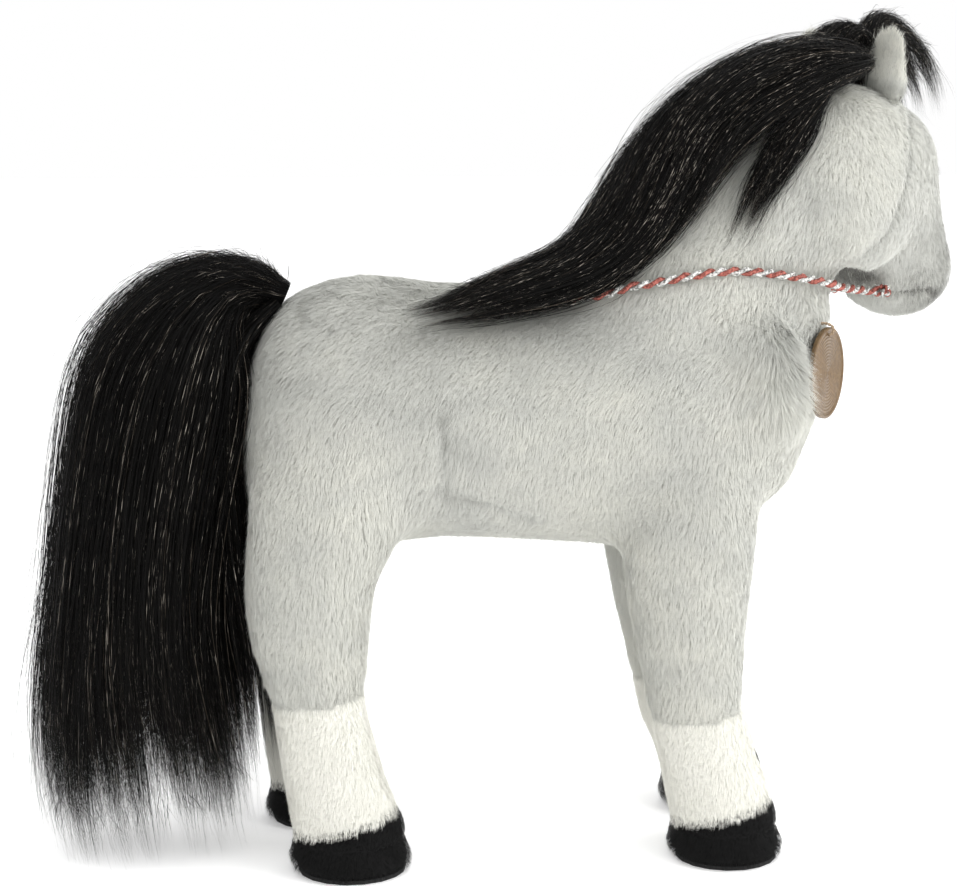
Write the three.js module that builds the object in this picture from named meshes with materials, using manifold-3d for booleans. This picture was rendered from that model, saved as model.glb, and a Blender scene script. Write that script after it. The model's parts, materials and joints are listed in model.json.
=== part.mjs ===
// A standing plush horse with its head turned to its left: stuffed plush body, long-haired mane
// and tail, white socks, black hooves, a cord rein and a round chest medallion.
// Millimetres. X runs from tail to chest, Y to the horse's left, Z up, with the soles on Z = 0.

import * as THREE from 'three';
import { mergeVertices } from 'three/addons/utils/BufferGeometryUtils.js';
import Module from 'manifold-3d';

const wasm = await Module();
wasm.setup();

// Clearance between pieces that meet, and how far a cutter runs past what it cuts
const seamGap = 0.35;
const overrun = 4;

// Torso
const bodyLength = 237;
const bodyWidth = 102;
const backHeight = 233;
const bellyHeight = 122;

// Legs and feet
const legSpacing = 64;
const hindHoofPlace = -76;
const frontHoofPlace = 74;
const legLength = 52;
const legWidth = 46;
const hindSockHeight = 72;
const frontSockHeight = 61;
const sockRise = 5;
const heelHeight = 16;
const toeRise = 9;
const hindHoofLength = 47;
const frontHoofLength = 45;
const hoofWidth = 43;
const hoofNeckShare = 0.90;
const hoofForwardShare = -0.04;
const solePanel = 1.6;
const strideShift = 9;

// Neck
const neckLength = 100;
const neckLean = 51.5;
const neckDepth = 112;
const neckWidth = 92;

// Head, which looks to the left and down
const headLength = 124;
const headWidth = 62;
const headDepth = 72;
const headTurn = 46;
const headPitch = 40;
const skullReach = 111;
const skullDrop = 17.5;
const skullSide = 8;

// Ears
const earHeight = 25.5;
const earWidth = 18;
const earThickness = 6;
const earLining = 1.4;
const earSpread = 32;
const earClearance = 0.8;

// Safety eyes with the washers that hold them
const eyeDiameter = 11;
const eyeDome = 4.2;
const eyeRim = 0.8;
const eyeSink = 2.6;
const shankDiameter = 4.4;
const shankLength = 9;
const washerDiameter = 11;
const washerThickness = 1.8;
const coverThickness = 2.6;

// Hair
const maneLength = 190;
const maneThickness = 26;
const tailLength = 226;
const tailDepth = 92;
const tailWidth = 68;
const forelockLength = 56;
const forelockWidth = 17;
const lockCount = 9;
const lockDepthShare = 0.05;

// Rein cord and its end knots
const reinDiameter = 3.5;
const knotDiameter = 6.5;

// Medallion on the chest, hung on a thread loop
const medallionDiameter = 36;
const medallionThickness = 1.8;
const medallionRim = 1.6;
const medallionRimHeight = 0.5;
const medallionHole = 3.4;
const loopThread = 1.2;
const loopDiameter = 7.8;
const loopSetback = 0.25;
const loopHeightShare = 0.62;

// Numbers of faces
const bodySides = 24;
const limbSides = 18;
const hairSides = 27;
const jowlSides = 14;
const earSides = 12;
const knotSides = 12;
const turnedSides = 16;
const cordSides = 8;
const cordSteps = 76;
const stepsPerSpan = 2;

// Materials
const plush = new THREE.MeshStandardMaterial({ color: 0xcdcdc1, roughness: 0.95, metalness: 0 });
const sockPlush = new THREE.MeshStandardMaterial({ color: 0xf2f2e8, roughness: 0.95, metalness: 0 });
const hoofPlush = new THREE.MeshStandardMaterial({ color: 0x1b1b1b, roughness: 0.9, metalness: 0 });
const soleCloth = new THREE.MeshStandardMaterial({ color: 0x161616, roughness: 0.85, metalness: 0 });
const hair = new THREE.MeshStandardMaterial({ color: 0x201f1f, roughness: 0.4, metalness: 0 });
const liningCloth = new THREE.MeshStandardMaterial({ color: 0xbcb8ae, roughness: 0.95, metalness: 0 });
const eyePlastic = new THREE.MeshStandardMaterial({ color: 0x1a100a, roughness: 0.08, metalness: 0 });
const washerPlastic = new THREE.MeshStandardMaterial({ color: 0xe6e3da, roughness: 0.5, metalness: 0 });
const reinCord = new THREE.MeshStandardMaterial({ color: 0xbe5a50, roughness: 0.45, metalness: 0.1 });
const medallionSkin = new THREE.MeshStandardMaterial({ color: 0x9b836a, roughness: 0.5, metalness: 0.2 });
const thread = new THREE.MeshStandardMaterial({ color: 0xb09a80, roughness: 0.7, metalness: 0 });

const forward = new THREE.Vector3(1, 0, 0);
const left = new THREE.Vector3(0, 1, 0);
const up = new THREE.Vector3(0, 0, 1);

// A table's rows with more rows between them, every column on a smooth curve
function smoothRows(rows, steps) {
  const last = rows.length - 1;
  const out = [];
  for (let span = 0; span < last; span += 1) {
    const before = rows[Math.max(span - 1, 0)];
    const from = rows[span];
    const to = rows[span + 1];
    const after = rows[Math.min(span + 2, last)];
    for (let step = 0; step < steps; step += 1) {
      const t = step / steps;
      out.push(from.map((value, column) => {
        const slopeIn = (to[column] - before[column]) / 2;
        const slopeOut = (after[column] - value) / 2;
        const rise = to[column] - value;
        const bend = 3 * rise - 2 * slopeIn - slopeOut;
        const twist = slopeIn + slopeOut - 2 * rise;
        return value + t * (slopeIn + t * (bend + t * twist));
      }));
    }
  }
  out.push(rows[last]);
  return out;
}

// A ring of points about a centre, wide along one direction and high along the other
function ellipseRing(centre, across, upwards, halfWide, halfHigh, sides, flute = () => 1) {
  const points = [];
  for (let side = 0; side < sides; side += 1) {
    const angle = (2 * Math.PI * side) / sides;
    const reach = flute(angle);
    points.push(centre.clone()
      .addScaledVector(across, halfWide * reach * Math.cos(angle))
      .addScaledVector(upwards, halfHigh * reach * Math.sin(angle)));
  }
  return points;
}

function signedVolume(points, index) {
  let sum = 0;
  for (let i = 0; i < index.length; i += 3) {
    const [a, b, c] = [points[index[i]], points[index[i + 1]], points[index[i + 2]]];
    sum += a.dot(new THREE.Vector3().crossVectors(b, c));
  }
  return sum;
}

// A closed skin over rings of equal count, each end closed by a fan about its middle
function skinRings(rings) {
  const sides = rings[0].length;
  const points = rings.flat();
  const middle = (ring) => ring.reduce((sum, point) => sum.add(point), new THREE.Vector3()).divideScalar(sides);
  const first = points.length;
  points.push(middle(rings[0]), middle(rings.at(-1)));
  const index = [];
  for (let side = 0; side < sides; side += 1) {
    const next = (side + 1) % sides;
    for (let row = 0; row < rings.length - 1; row += 1) {
      const a = row * sides + side;
      const b = row * sides + next;
      index.push(a, b, b + sides, a, b + sides, a + sides);
    }
    const end = (rings.length - 1) * sides;
    index.push(first, next, side, first + 1, end + side, end + next);
  }
  if (signedVolume(points, index) < 0) {
    index.reverse();
  }
  const geometry = new THREE.BufferGeometry();
  geometry.setAttribute('position', new THREE.Float32BufferAttribute(points.flatMap((p) => p.toArray()), 3));
  geometry.setIndex(index);
  return geometry;
}

// The same skin with every point moved out along its normal
function grown(geometry, distance) {
  const out = geometry.clone();
  out.computeVertexNormals();
  const position = out.getAttribute('position');
  const normal = out.getAttribute('normal');
  for (let i = 0; i < position.count; i += 1) {
    position.setXYZ(
      i,
      position.getX(i) + distance * normal.getX(i),
      position.getY(i) + distance * normal.getY(i),
      position.getZ(i) + distance * normal.getZ(i),
    );
  }
  return out;
}

function solidOf(geometry) {
  const bare = geometry.clone();
  bare.deleteAttribute('normal');
  bare.deleteAttribute('uv');
  const merged = mergeVertices(bare, 1e-4);
  const vertProperties = Float32Array.from(merged.getAttribute('position').array);
  const triVerts = Uint32Array.from(merged.getIndex().array);
  return new wasm.Manifold(new wasm.Mesh({ numProp: 3, vertProperties, triVerts }));
}

// The largest body of a solid, so that no crumb of a cut stays beside it
function geometryOf(solid) {
  const bodies = solid.decompose().sort((a, b) => b.volume() - a.volume());
  const mesh = bodies[0].getMesh();
  const geometry = new THREE.BufferGeometry();
  geometry.setAttribute('position', new THREE.Float32BufferAttribute(mesh.vertProperties, 3));
  geometry.setIndex(Array.from(mesh.triVerts));
  return geometry;
}

function cut(geometry, ...tools) {
  return geometryOf(tools.reduce((solid, tool) => solid.subtract(solidOf(tool)), solidOf(geometry)));
}

function join(...geometries) {
  return geometryOf(geometries.map(solidOf).reduce((all, solid) => all.add(solid)));
}

// A form lofted along X: each row is its place, top, bottom and full width
function barrel(rows, sides) {
  return skinRings(rows.map(([x, top, bottom, wide]) => ellipseRing(
    new THREE.Vector3(x, 0, (top + bottom) / 2), left, up, wide / 2, (top - bottom) / 2, sides,
  )));
}

// The point and outward normal of such a form at a place along X, at an angle up from the side
function barrelPoint(rows, place, angle, side) {
  const at = (x, turn) => {
    const next = Math.max(rows.findIndex((row) => row[0] >= x), 1);
    const [before, after] = [rows[next - 1], rows[next]];
    const t = (x - before[0]) / (after[0] - before[0]);
    const [, top, bottom, wide] = before.map((value, column) => value + t * (after[column] - value));
    return new THREE.Vector3(
      x,
      (side * wide * Math.cos(turn)) / 2,
      (top + bottom) / 2 + ((top - bottom) / 2) * Math.sin(turn),
    );
  };
  const turn = THREE.MathUtils.degToRad(angle);
  const nearby = 1e-3;
  const point = at(place, turn);
  const span = nearby * (rows.at(-1)[0] - rows[0][0]);
  const alongX = at(place + span, turn).sub(point);
  const around = at(place, turn + nearby).sub(point);
  const normal = new THREE.Vector3().crossVectors(around, alongX).multiplyScalar(side).normalize();
  return { point, normal };
}

// Torso: rump, haunches, waist, shoulders and chest in one stuffed form.
// Each row gives shares of the body's length, of its depth (top and bottom) and of its width.
const torsoShares = [
  [0.000, 0.44, 0.36, 0.10],
  [0.012, 0.66, 0.12, 0.42],
  [0.050, 0.84, 0.02, 0.72],
  [0.115, 0.95, 0.00, 0.92],
  [0.215, 1.00, 0.01, 1.00],
  [0.340, 0.97, 0.05, 0.98],
  [0.460, 0.98, 0.04, 0.96],
  [0.590, 1.04, 0.02, 0.98],
  [0.715, 1.06, 0.00, 0.99],
  [0.835, 1.02, 0.05, 0.93],
  [0.920, 0.95, 0.22, 0.76],
  [0.975, 0.84, 0.44, 0.46],
  [0.990, 0.72, 0.58, 0.14],
];
const bodyDepth = backHeight - bellyHeight;
const torsoRows = smoothRows(torsoShares, stepsPerSpan).map(([along, top, bottom, wide]) => [
  (along - 0.5) * bodyLength,
  bellyHeight + top * bodyDepth,
  bellyHeight + bottom * bodyDepth,
  wide * bodyWidth,
]);
const torsoSkin = barrel(torsoRows, bodySides);
const torsoTool = grown(torsoSkin, seamGap);

// Neck: lofted along a leaning line from inside the shoulders to inside the skull.
// Each row gives shares of the neck's length, of its depth (crest and throat) and of its width.
const leanAngle = THREE.MathUtils.degToRad(neckLean);
const neckDirection = new THREE.Vector3(Math.cos(leanAngle), 0, Math.sin(leanAngle));
const neckCrest = new THREE.Vector3(-Math.sin(leanAngle), 0, Math.cos(leanAngle));
const neckRootShares = { along: 0.235, high: 0.775 };
const neckRoot = new THREE.Vector3(
  neckRootShares.along * bodyLength,
  0,
  bellyHeight + neckRootShares.high * bodyDepth,
);
const neckShares = [
  [-0.25, 0.42, -0.43, 0.90],
  [0.00, 0.52, -0.50, 1.00],
  [0.20, 0.49, -0.45, 0.86],
  [0.42, 0.44, -0.39, 0.73],
  [0.66, 0.38, -0.33, 0.65],
  [0.88, 0.31, -0.29, 0.59],
  [1.00, 0.25, -0.25, 0.52],
];
const neckSkin = skinRings(smoothRows(neckShares, stepsPerSpan).map(([along, crest, throat, wide]) => ellipseRing(
  neckRoot.clone()
    .addScaledVector(neckDirection, along * neckLength)
    .addScaledVector(neckCrest, ((crest + throat) / 2) * neckDepth),
  left.clone().negate(),
  neckCrest,
  (wide * neckWidth) / 2,
  ((crest - throat) / 2) * neckDepth,
  bodySides,
)));

// Head: a group of its own at the middle of the skull, turned to the left and pitched down.
// Inside it X runs to the nose and Z to the forehead.
const head = new THREE.Group();
head.position.copy(neckRoot).addScaledVector(neckDirection, skullReach);
head.position.y += skullSide;
head.position.z -= skullDrop;
head.rotation.set(0, THREE.MathUtils.degToRad(headPitch), THREE.MathUtils.degToRad(headTurn), 'ZYX');
head.updateMatrixWorld(true);

// Each row gives shares of the head's length, of its depth (forehead and jaw) and of its width
const headShares = [
  [-0.270, 0.06, -0.06, 0.12],
  [-0.240, 0.16, -0.22, 0.46],
  [-0.150, 0.31, -0.38, 0.80],
  [0.000, 0.42, -0.46, 0.98],
  [0.140, 0.50, -0.46, 1.00],
  [0.270, 0.47, -0.46, 0.90],
  [0.390, 0.40, -0.44, 0.78],
  [0.500, 0.34, -0.41, 0.70],
  [0.600, 0.27, -0.34, 0.67],
  [0.680, 0.20, -0.26, 0.56],
  [0.730, 0.02, -0.11, 0.22],
];
const headRows = smoothRows(headShares, stepsPerSpan).map(([along, top, bottom, wide]) => [
  along * headLength,
  top * headDepth,
  bottom * headDepth,
  wide * headWidth,
]);

// Jowls: the round cheeks on both sides of the jaw, which stand proud of the muzzle
const jowlPlaceShares = { along: 0.05, side: 0.28, low: -0.20 };
const jowlSizeShares = { long: 0.235, wide: 0.225, high: 0.44 };
function jowl(side) {
  const geometry = new THREE.SphereGeometry(1, jowlSides, jowlSides / 2);
  geometry.scale(
    jowlSizeShares.long * headLength,
    jowlSizeShares.wide * headWidth,
    jowlSizeShares.high * headDepth,
  );
  geometry.translate(
    jowlPlaceShares.along * headLength,
    side * jowlPlaceShares.side * headWidth,
    jowlPlaceShares.low * headDepth,
  );
  return geometry;
}
const skullSkin = join(barrel(headRows, bodySides), jowl(1), jowl(-1));
const skullTool = grown(skullSkin, seamGap).applyMatrix4(head.matrixWorld);

// Eyes: plastic domes sunk in the pile, with a shank through the cover and a washer pushed on behind it
function eyeGeometry() {
  const rim = [];
  const arcSteps = 6;
  for (let step = 0; step <= arcSteps; step += 1) {
    const angle = (Math.PI / 2) * (step / arcSteps);
    rim.push(new THREE.Vector2(
      (eyeDiameter / 2) * Math.cos(angle),
      eyeRim + (eyeDome - eyeRim) * Math.sin(angle),
    ));
  }
  rim[arcSteps].x = 0;
  const profile = [
    new THREE.Vector2(0, -shankLength),
    new THREE.Vector2(shankDiameter / 2, -shankLength),
    new THREE.Vector2(shankDiameter / 2, 0),
    new THREE.Vector2(eyeDiameter / 2, 0),
    ...rim,
  ];
  return new THREE.LatheGeometry(profile, turnedSides);
}

function turnedRing(inner, outer, low, high) {
  return new THREE.LatheGeometry([
    new THREE.Vector2(inner, low),
    new THREE.Vector2(outer, low),
    new THREE.Vector2(outer, high),
    new THREE.Vector2(inner, high),
    new THREE.Vector2(inner, low),
  ], turnedSides);
}

function turnedRod(radius, low, high) {
  return new THREE.LatheGeometry([
    new THREE.Vector2(0, low),
    new THREE.Vector2(radius, low),
    new THREE.Vector2(radius, high),
    new THREE.Vector2(0, high),
  ], turnedSides);
}

const eyePlaceShare = 0.25;
const eyeAngle = 53;
const washerHigh = -coverThickness - seamGap;
const washerLow = washerHigh - washerThickness;

function eyeSeat(side) {
  const seat = new THREE.Group();
  const { point, normal } = barrelPoint(headRows, eyePlaceShare * headLength, eyeAngle, side);
  seat.position.copy(point).addScaledVector(normal, -eyeSink);
  seat.quaternion.setFromUnitVectors(left, normal);
  seat.updateMatrix();
  return seat;
}

function eyeSocket(seat) {
  const tools = [
    turnedRod(eyeDiameter / 2 + seamGap, -seamGap, eyeSink + overrun),
    turnedRod(shankDiameter / 2 + seamGap, -shankLength - seamGap, overrun),
    turnedRod(washerDiameter / 2 + seamGap, washerLow - seamGap, washerHigh + seamGap),
  ];
  return tools.map((tool) => tool.applyMatrix4(seat.matrix));
}

// Ears: leaf-shaped plush pockets on the poll, standing straight up, with a lining let into the front.
// Inside an ear's group Z runs to its tip and X to its front, and its base line is the fold line.
const earShares = [
  [-0.16, 0.50, 0.14],
  [-0.08, 0.74, 0.24],
  [0.04, 0.86, 0.62],
  [0.20, 0.94, 1.00],
  [0.44, 1.00, 0.95],
  [0.64, 0.96, 0.84],
  [0.82, 0.80, 0.66],
  [0.93, 0.56, 0.44],
  [1.00, 0.20, 0.16],
];
const liningPlaceShares = { low: 0.16, high: 0.86, wide: 0.62 };
const earPlaceShare = -0.09;
const earBaseShare = 0.04;
const earRoll = 8;
const earSplay = 10;

function earRings(scaleWide, scaleThick) {
  return earShares.map(([high, wide, thick]) => ellipseRing(
    new THREE.Vector3(0, 0, high * earHeight),
    forward,
    left,
    (thick * scaleThick) / 2,
    (wide * scaleWide) / 2,
    earSides,
  ));
}

const earSkin = skinRings(earRings(earWidth, earThickness));
const liningSkin = (() => {
  const geometry = skinRings(earRings(liningPlaceShares.wide * earWidth, 2 * earLining));
  const span = liningPlaceShares.high - liningPlaceShares.low;
  geometry.scale(1, 1, span);
  geometry.translate(earThickness / 2 - earLining / 2, 0, liningPlaceShares.low * earHeight);
  return geometry;
})();
const earCover = cut(earSkin, grown(liningSkin, seamGap));

function earSeat(side) {
  const seat = new THREE.Group();
  const spreadAngle = THREE.MathUtils.radToDeg(Math.acos(earSpread / headWidth));
  const { point, normal } = barrelPoint(headRows, earPlaceShare * headLength, spreadAngle, side);
  seat.position.copy(point).addScaledVector(normal, earBaseShare * earHeight);
  seat.rotation.set(
    THREE.MathUtils.degToRad(-side * earRoll),
    THREE.MathUtils.degToRad(-headPitch),
    THREE.MathUtils.degToRad(side * earSplay),
    'YXZ',
  );
  seat.updateMatrix();
  return seat;
}

// Legs: each row gives a height as a share of the belly's, a place forward of the hoof and a size
// as shares of the leg's length, and a width as a share of the leg's
const hindLegShares = [
  [1.44, -0.06, 1.00, 0.62],
  [1.30, -0.14, 1.20, 0.90],
  [1.12, -0.17, 1.20, 1.00],
  [0.95, -0.29, 1.02, 1.00],
  [0.76, -0.30, 0.93, 0.94],
  [0.00, -0.24, 0.76, 0.84],
];
const frontLegShares = [
  [1.36, -0.24, 0.94, 0.62],
  [1.24, -0.30, 1.06, 0.90],
  [1.10, -0.32, 1.06, 1.00],
  [0.95, -0.32, 1.00, 1.00],
  [0.74, -0.31, 0.88, 0.93],
  [0.00, -0.24, 0.74, 0.83],
];
// A sock's rows run from its seam (1) to the hoof (0): height, place forward, length and width
const sockShares = [
  [1.00, 0.97, 0.95],
  [0.92, 1.00, 1.00],
  [0.50, 1.03, 1.02],
  [0.10, 1.06, 1.03],
  [0.00, 1.02, 1.00],
];
const hoofShares = [
  [1.00, 0.91, 0.93],
  [0.86, 0.96, 0.97],
  [0.50, 1.00, 1.00],
  [0.22, 0.99, 1.00],
  [0.00, 0.92, 0.93],
];
const soleShare = 0.90;
const leanShare = 0.5;

function leg(front, side) {
  const rows = front ? frontLegShares : hindLegShares;
  const sockHeight = front ? frontSockHeight : hindSockHeight;
  const hoofSize = front ? frontHoofLength : hindHoofLength;
  const stride = side > 0 ? (front ? strideShift : -strideShift) : 0;
  const place = (front ? frontHoofPlace : hindHoofPlace);
  const hoofTop = heelHeight + toeRise / 2;
  const middleY = (side * legSpacing) / 2;

  const tilted = (x, z, long, wide, rise) => {
    const slope = Math.atan2(rise, long);
    const shift = stride * (1 - (leanShare * z) / bellyHeight);
    return ellipseRing(
      new THREE.Vector3(place + x + shift, middleY, z),
      new THREE.Vector3(Math.cos(slope), 0, Math.sin(slope)),
      left,
      long / 2,
      wide / 2,
      limbSides,
    );
  };

  const seamPlace = rows.at(-1)[1] * legLength;
  const seamLong = rows.at(-1)[2] * legLength;
  const seamWide = rows.at(-1)[3] * legWidth;
  const upperRows = rows.map(([high, forward, long, wide], row) => {
    const last = row === rows.length - 1;
    return [
      forward * legLength,
      last ? sockHeight : high * bellyHeight,
      long * legLength,
      wide * legWidth,
      last ? sockRise : 0,
    ];
  });
  const upper = smoothRows(upperRows, stepsPerSpan).map((row) => tilted(...row));

  const sockTop = sockHeight - seamGap;
  const sock = smoothRows(sockShares.map(([high, long, wide]) => [
    seamPlace + (hoofForwardShare * legLength - seamPlace) * (1 - high),
    hoofTop + (sockTop - hoofTop) * high,
    long * (seamLong + (hoofSize * hoofNeckShare - seamLong) * (1 - high)),
    wide * (seamWide + (hoofWidth * hoofNeckShare - seamWide) * (1 - high)),
    toeRise + (sockRise - toeRise) * high,
  ]), stepsPerSpan - 1).map((row) => tilted(...row));

  const hoofLow = solePanel + seamGap;
  const hoofHigh = hoofTop - seamGap;
  const hoof = smoothRows(hoofShares.map(([high, long, wide]) => [
    hoofForwardShare * legLength * high,
    hoofLow + (hoofHigh - hoofLow) * high,
    long * hoofSize,
    wide * hoofWidth,
    toeRise * high,
  ]), stepsPerSpan - 1).map((row) => tilted(...row));

  const soleLong = soleShare * hoofSize;
  const soleWide = soleShare * hoofWidth;
  const sole = [solePanel, 0].map((z) => tilted(0, z, soleLong, soleWide, 0));

  return {
    upper: cut(skinRings(upper), torsoTool),
    sock: skinRings(sock),
    hoof: skinRings(hoof),
    sole: skinRings(sole),
  };
}

// Hair: a form swept along a line of its own, with shallow locks that run along its fall.
// Each row is a place (X, Y, Z), a half width across and a half height in the plane of the sweep.
function hairSweep(rows, sides, phase) {
  const fine = smoothRows(rows, stepsPerSpan);
  const points = fine.map(([x, y, z]) => new THREE.Vector3(x, y, z));
  const flute = (angle) => 1 + lockDepthShare * Math.cos(lockCount * angle + phase);
  return skinRings(fine.map(([, , , wide, high], i) => {
    const ahead = points[Math.min(i + 1, points.length - 1)];
    const behind = points[Math.max(i - 1, 0)];
    const along = ahead.clone().sub(behind).normalize();
    const across = new THREE.Vector3().crossVectors(up, along);
    if (across.length() < 0.2) {
      across.copy(left);
    }
    across.normalize();
    if (across.y < 0) {
      across.negate();
    }
    const lift = new THREE.Vector3().crossVectors(along, across).normalize();
    return ellipseRing(points[i], across, lift, wide, high, sides, flute);
  }));
}

// Mane: swept from the poll along the crest to the back, lying over to the right side.
// Places are shares of the mane's length, from the root of the neck; sizes of its thickness.
const maneShares = [
  [0.385, -0.040, 0.555, 0.20, 0.16],
  [0.345, -0.050, 0.550, 0.62, 0.40],
  [0.220, -0.062, 0.511, 0.86, 0.76],
  [0.062, -0.075, 0.416, 0.98, 0.85],
  [-0.043, -0.090, 0.295, 1.00, 0.74],
  [-0.143, -0.110, 0.242, 0.96, 0.63],
  [-0.233, -0.130, 0.140, 0.90, 0.48],
  [-0.369, -0.155, 0.100, 0.70, 0.30],
  [-0.480, -0.175, 0.078, 0.40, 0.16],
  [-0.540, -0.185, 0.068, 0.12, 0.06],
];
const maneSkin = hairSweep(maneShares.map(([x, y, z, wide, high]) => [
  neckRoot.x + x * maneLength,
  y * maneLength,
  neckRoot.z + z * maneLength,
  wide * maneThickness,
  high * maneThickness,
]), hairSides, 0);

// Tail: sewn in on top of the rump, arching up and back and then hanging to the ground.
// Places are shares of its length from the dock, sizes shares of its depth and width.
const tailShares = [
  [0.000, 0.000, 0.10, 0.06],
  [-0.045, 0.018, 0.22, 0.16],
  [-0.095, 0.018, 0.38, 0.27],
  [-0.150, -0.025, 0.58, 0.46],
  [-0.195, -0.095, 0.76, 0.62],
  [-0.224, -0.180, 0.88, 0.70],
  [-0.255, -0.336, 0.96, 0.71],
  [-0.276, -0.520, 1.00, 0.70],
  [-0.286, -0.690, 1.00, 0.78],
  [-0.282, -0.830, 0.94, 0.84],
  [-0.275, -0.900, 0.78, 0.74],
  [-0.270, -0.940, 0.52, 0.46],
];
const dockShares = { along: 0.085, lift: 0.02 };
const dock = barrelPoint(torsoRows, (dockShares.along - 0.5) * bodyLength, 90, 1).point
  .addScaledVector(up, dockShares.lift * tailDepth);
const tailSkin = hairSweep(tailShares.map(([x, z, wide, high]) => [
  dock.x + x * tailLength,
  0,
  dock.z + z * tailLength,
  (wide * tailWidth) / 2,
  (high * tailDepth) / 2,
]), hairSides, Math.PI / 2);

// Forelock: a tuft from the poll that stands up between the ears and falls over the forehead.
// Inside the head's group; places are shares of its length, sizes shares of its width.
const forelockShares = [
  [-0.17, 0.44, 0.20, 0.16],
  [-0.24, 0.66, 0.22, 0.28],
  [-0.22, 0.92, 0.28, 0.42],
  [-0.05, 1.06, 0.36, 0.46],
  [0.24, 1.13, 0.48, 0.44],
  [0.50, 1.13, 0.50, 0.38],
  [0.69, 1.10, 0.34, 0.26],
  [0.80, 1.04, 0.14, 0.10],
];
const forelockSkin = hairSweep(forelockShares.map(([x, z, wide, high]) => [
  x * forelockLength,
  0,
  z * forelockLength,
  wide * forelockWidth,
  high * forelockWidth,
]), turnedSides, 0);

// Knots: the rein's ends, tied off at the corners of the mouth low on the muzzle.
// Each is a ball with two wraps of cord about it.
const knotPlaceShare = 0.378;
const knotAngle = -65;
const knotWrapShare = 0.17;
const knotCoreShare = 0.42;
const knotTurns = [35, -35];

function knotSeat(side) {
  const seat = new THREE.Group();
  const { point, normal } = barrelPoint(headRows, knotPlaceShare * headLength, knotAngle, side);
  seat.position.copy(point).addScaledVector(normal, knotDiameter / 2 + seamGap);
  seat.quaternion.setFromUnitVectors(up, normal);
  seat.updateMatrix();
  return seat;
}

const knotShape = (() => {
  const wrap = knotWrapShare * knotDiameter;
  const core = new THREE.SphereGeometry(knotCoreShare * knotDiameter, knotSides, knotSides / 2);
  const wraps = knotTurns.map((turn) => {
    const ring = new THREE.TorusGeometry(knotDiameter / 2 - wrap, wrap, knotSides / 2, knotSides);
    return ring.rotateX(THREE.MathUtils.degToRad(turn));
  });
  return join(core, ...wraps);
})();

// Rein: the cord's line between the knots, chosen by hand. It crosses the air to the throat, lies on
// the right of the neck, passes over the withers below the mane and comes back on the left.
const reinRoute = [
  [137.0, 7.5, 222.8],
  [120.5, -13.0, 226.2],
  [117.0, -18.0, 227.6],
  [111.4, -24.4, 229.3],
  [99.8, -31.0, 231.8],
  [83.2, -36.4, 234.4],
  [68.7, -38.8, 235.2],
  [54.5, -40.9, 233.8],
  [40.6, -41.8, 231.4],
  [31.0, -40.4, 229.8],
  [23.2, -37.0, 227.0],
  [14.0, -33.2, 225.2],
  [5.0, -30.8, 225.0],
  [-2.5, -26.5, 226.7],
  [-7.5, -18.6, 229.5],
  [-10.0, -9.5, 232.0],
  [-10.8, 0.0, 233.2],
  [-10.0, 9.5, 232.0],
  [-7.5, 18.6, 229.5],
  [-2.5, 26.5, 226.7],
  [5.0, 30.8, 225.0],
  [14.0, 33.2, 225.2],
  [23.2, 37.0, 227.0],
  [31.0, 40.4, 229.8],
  [40.6, 41.9, 231.6],
  [54.5, 41.3, 232.9],
  [68.8, 39.5, 233.6],
  [83.3, 37.1, 232.8],
  [98.5, 33.0, 230.2],
  [114.0, 33.0, 226.5],
  [130.0, 36.5, 221.5],
];

function reinTube(ends, diameter) {
  const points = [ends[0], ...reinRoute.map((place) => new THREE.Vector3(...place)), ends[1]];
  const outline = [];
  for (let side = 0; side < cordSides; side += 1) {
    const angle = (2 * Math.PI * side) / cordSides;
    outline.push(new THREE.Vector2(Math.cos(angle), Math.sin(angle)).multiplyScalar(diameter / 2));
  }
  return new THREE.ExtrudeGeometry(new THREE.Shape(outline), {
    steps: cordSteps,
    bevelEnabled: false,
    extrudePath: new THREE.CatmullRomCurve3(points, false, 'catmullrom'),
  });
}

// Medallion: an embossed disc tangent to the right of the chest, hung from a loop at its top edge.
// Inside its group Y faces out of the chest and Z runs to the disc's top.
const medallionSeatShare = 0.968;
const medallionAngle = 4;
const medallionSeat = new THREE.Group();
{
  const place = (medallionSeatShare - 0.5) * bodyLength;
  const { point, normal } = barrelPoint(torsoRows, place, medallionAngle, -1);
  const outward = normal.clone().setZ(0).normalize();
  medallionSeat.position.copy(point).addScaledVector(outward, seamGap);
  medallionSeat.rotation.z = Math.atan2(outward.y, outward.x) - Math.PI / 2;
}
const rimInner = medallionDiameter / 2 - medallionRim;
const holeHeight = rimInner - medallionHole / 2;
const medallionDisc = (() => {
  const outer = medallionDiameter / 2;
  const disc = new THREE.LatheGeometry([
    new THREE.Vector2(0, 0),
    new THREE.Vector2(outer, 0),
    new THREE.Vector2(outer, medallionThickness),
    new THREE.Vector2(rimInner + medallionRim / 2, medallionThickness + medallionRimHeight),
    new THREE.Vector2(rimInner, medallionThickness),
    new THREE.Vector2(0, medallionThickness),
  ], 2 * turnedSides);
  const hole = turnedRod(medallionHole / 2, -overrun, overrun);
  hole.translate(0, 0, holeHeight);
  return cut(disc, hole);
})();

// Thread loop: a ring through the disc's hole that reaches back to the chest, where it is sewn on
const loopReach = loopDiameter / 2;
const loopDrop = medallionThickness / 2 + loopSetback;
const medallionLoop = new THREE.TorusGeometry(loopReach, loopThread / 2, cordSides, turnedSides)
  .rotateY(Math.PI / 2)
  .scale(1, 1, loopHeightShare)
  .translate(0, -loopSetback, holeHeight + loopHeightShare * Math.sqrt(loopReach ** 2 - loopDrop ** 2));

// The whole horse stands over the middle of its own length and width
const horse = new THREE.Group();
const pieces = new THREE.Group();
horse.add(pieces);
pieces.add(head);

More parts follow.
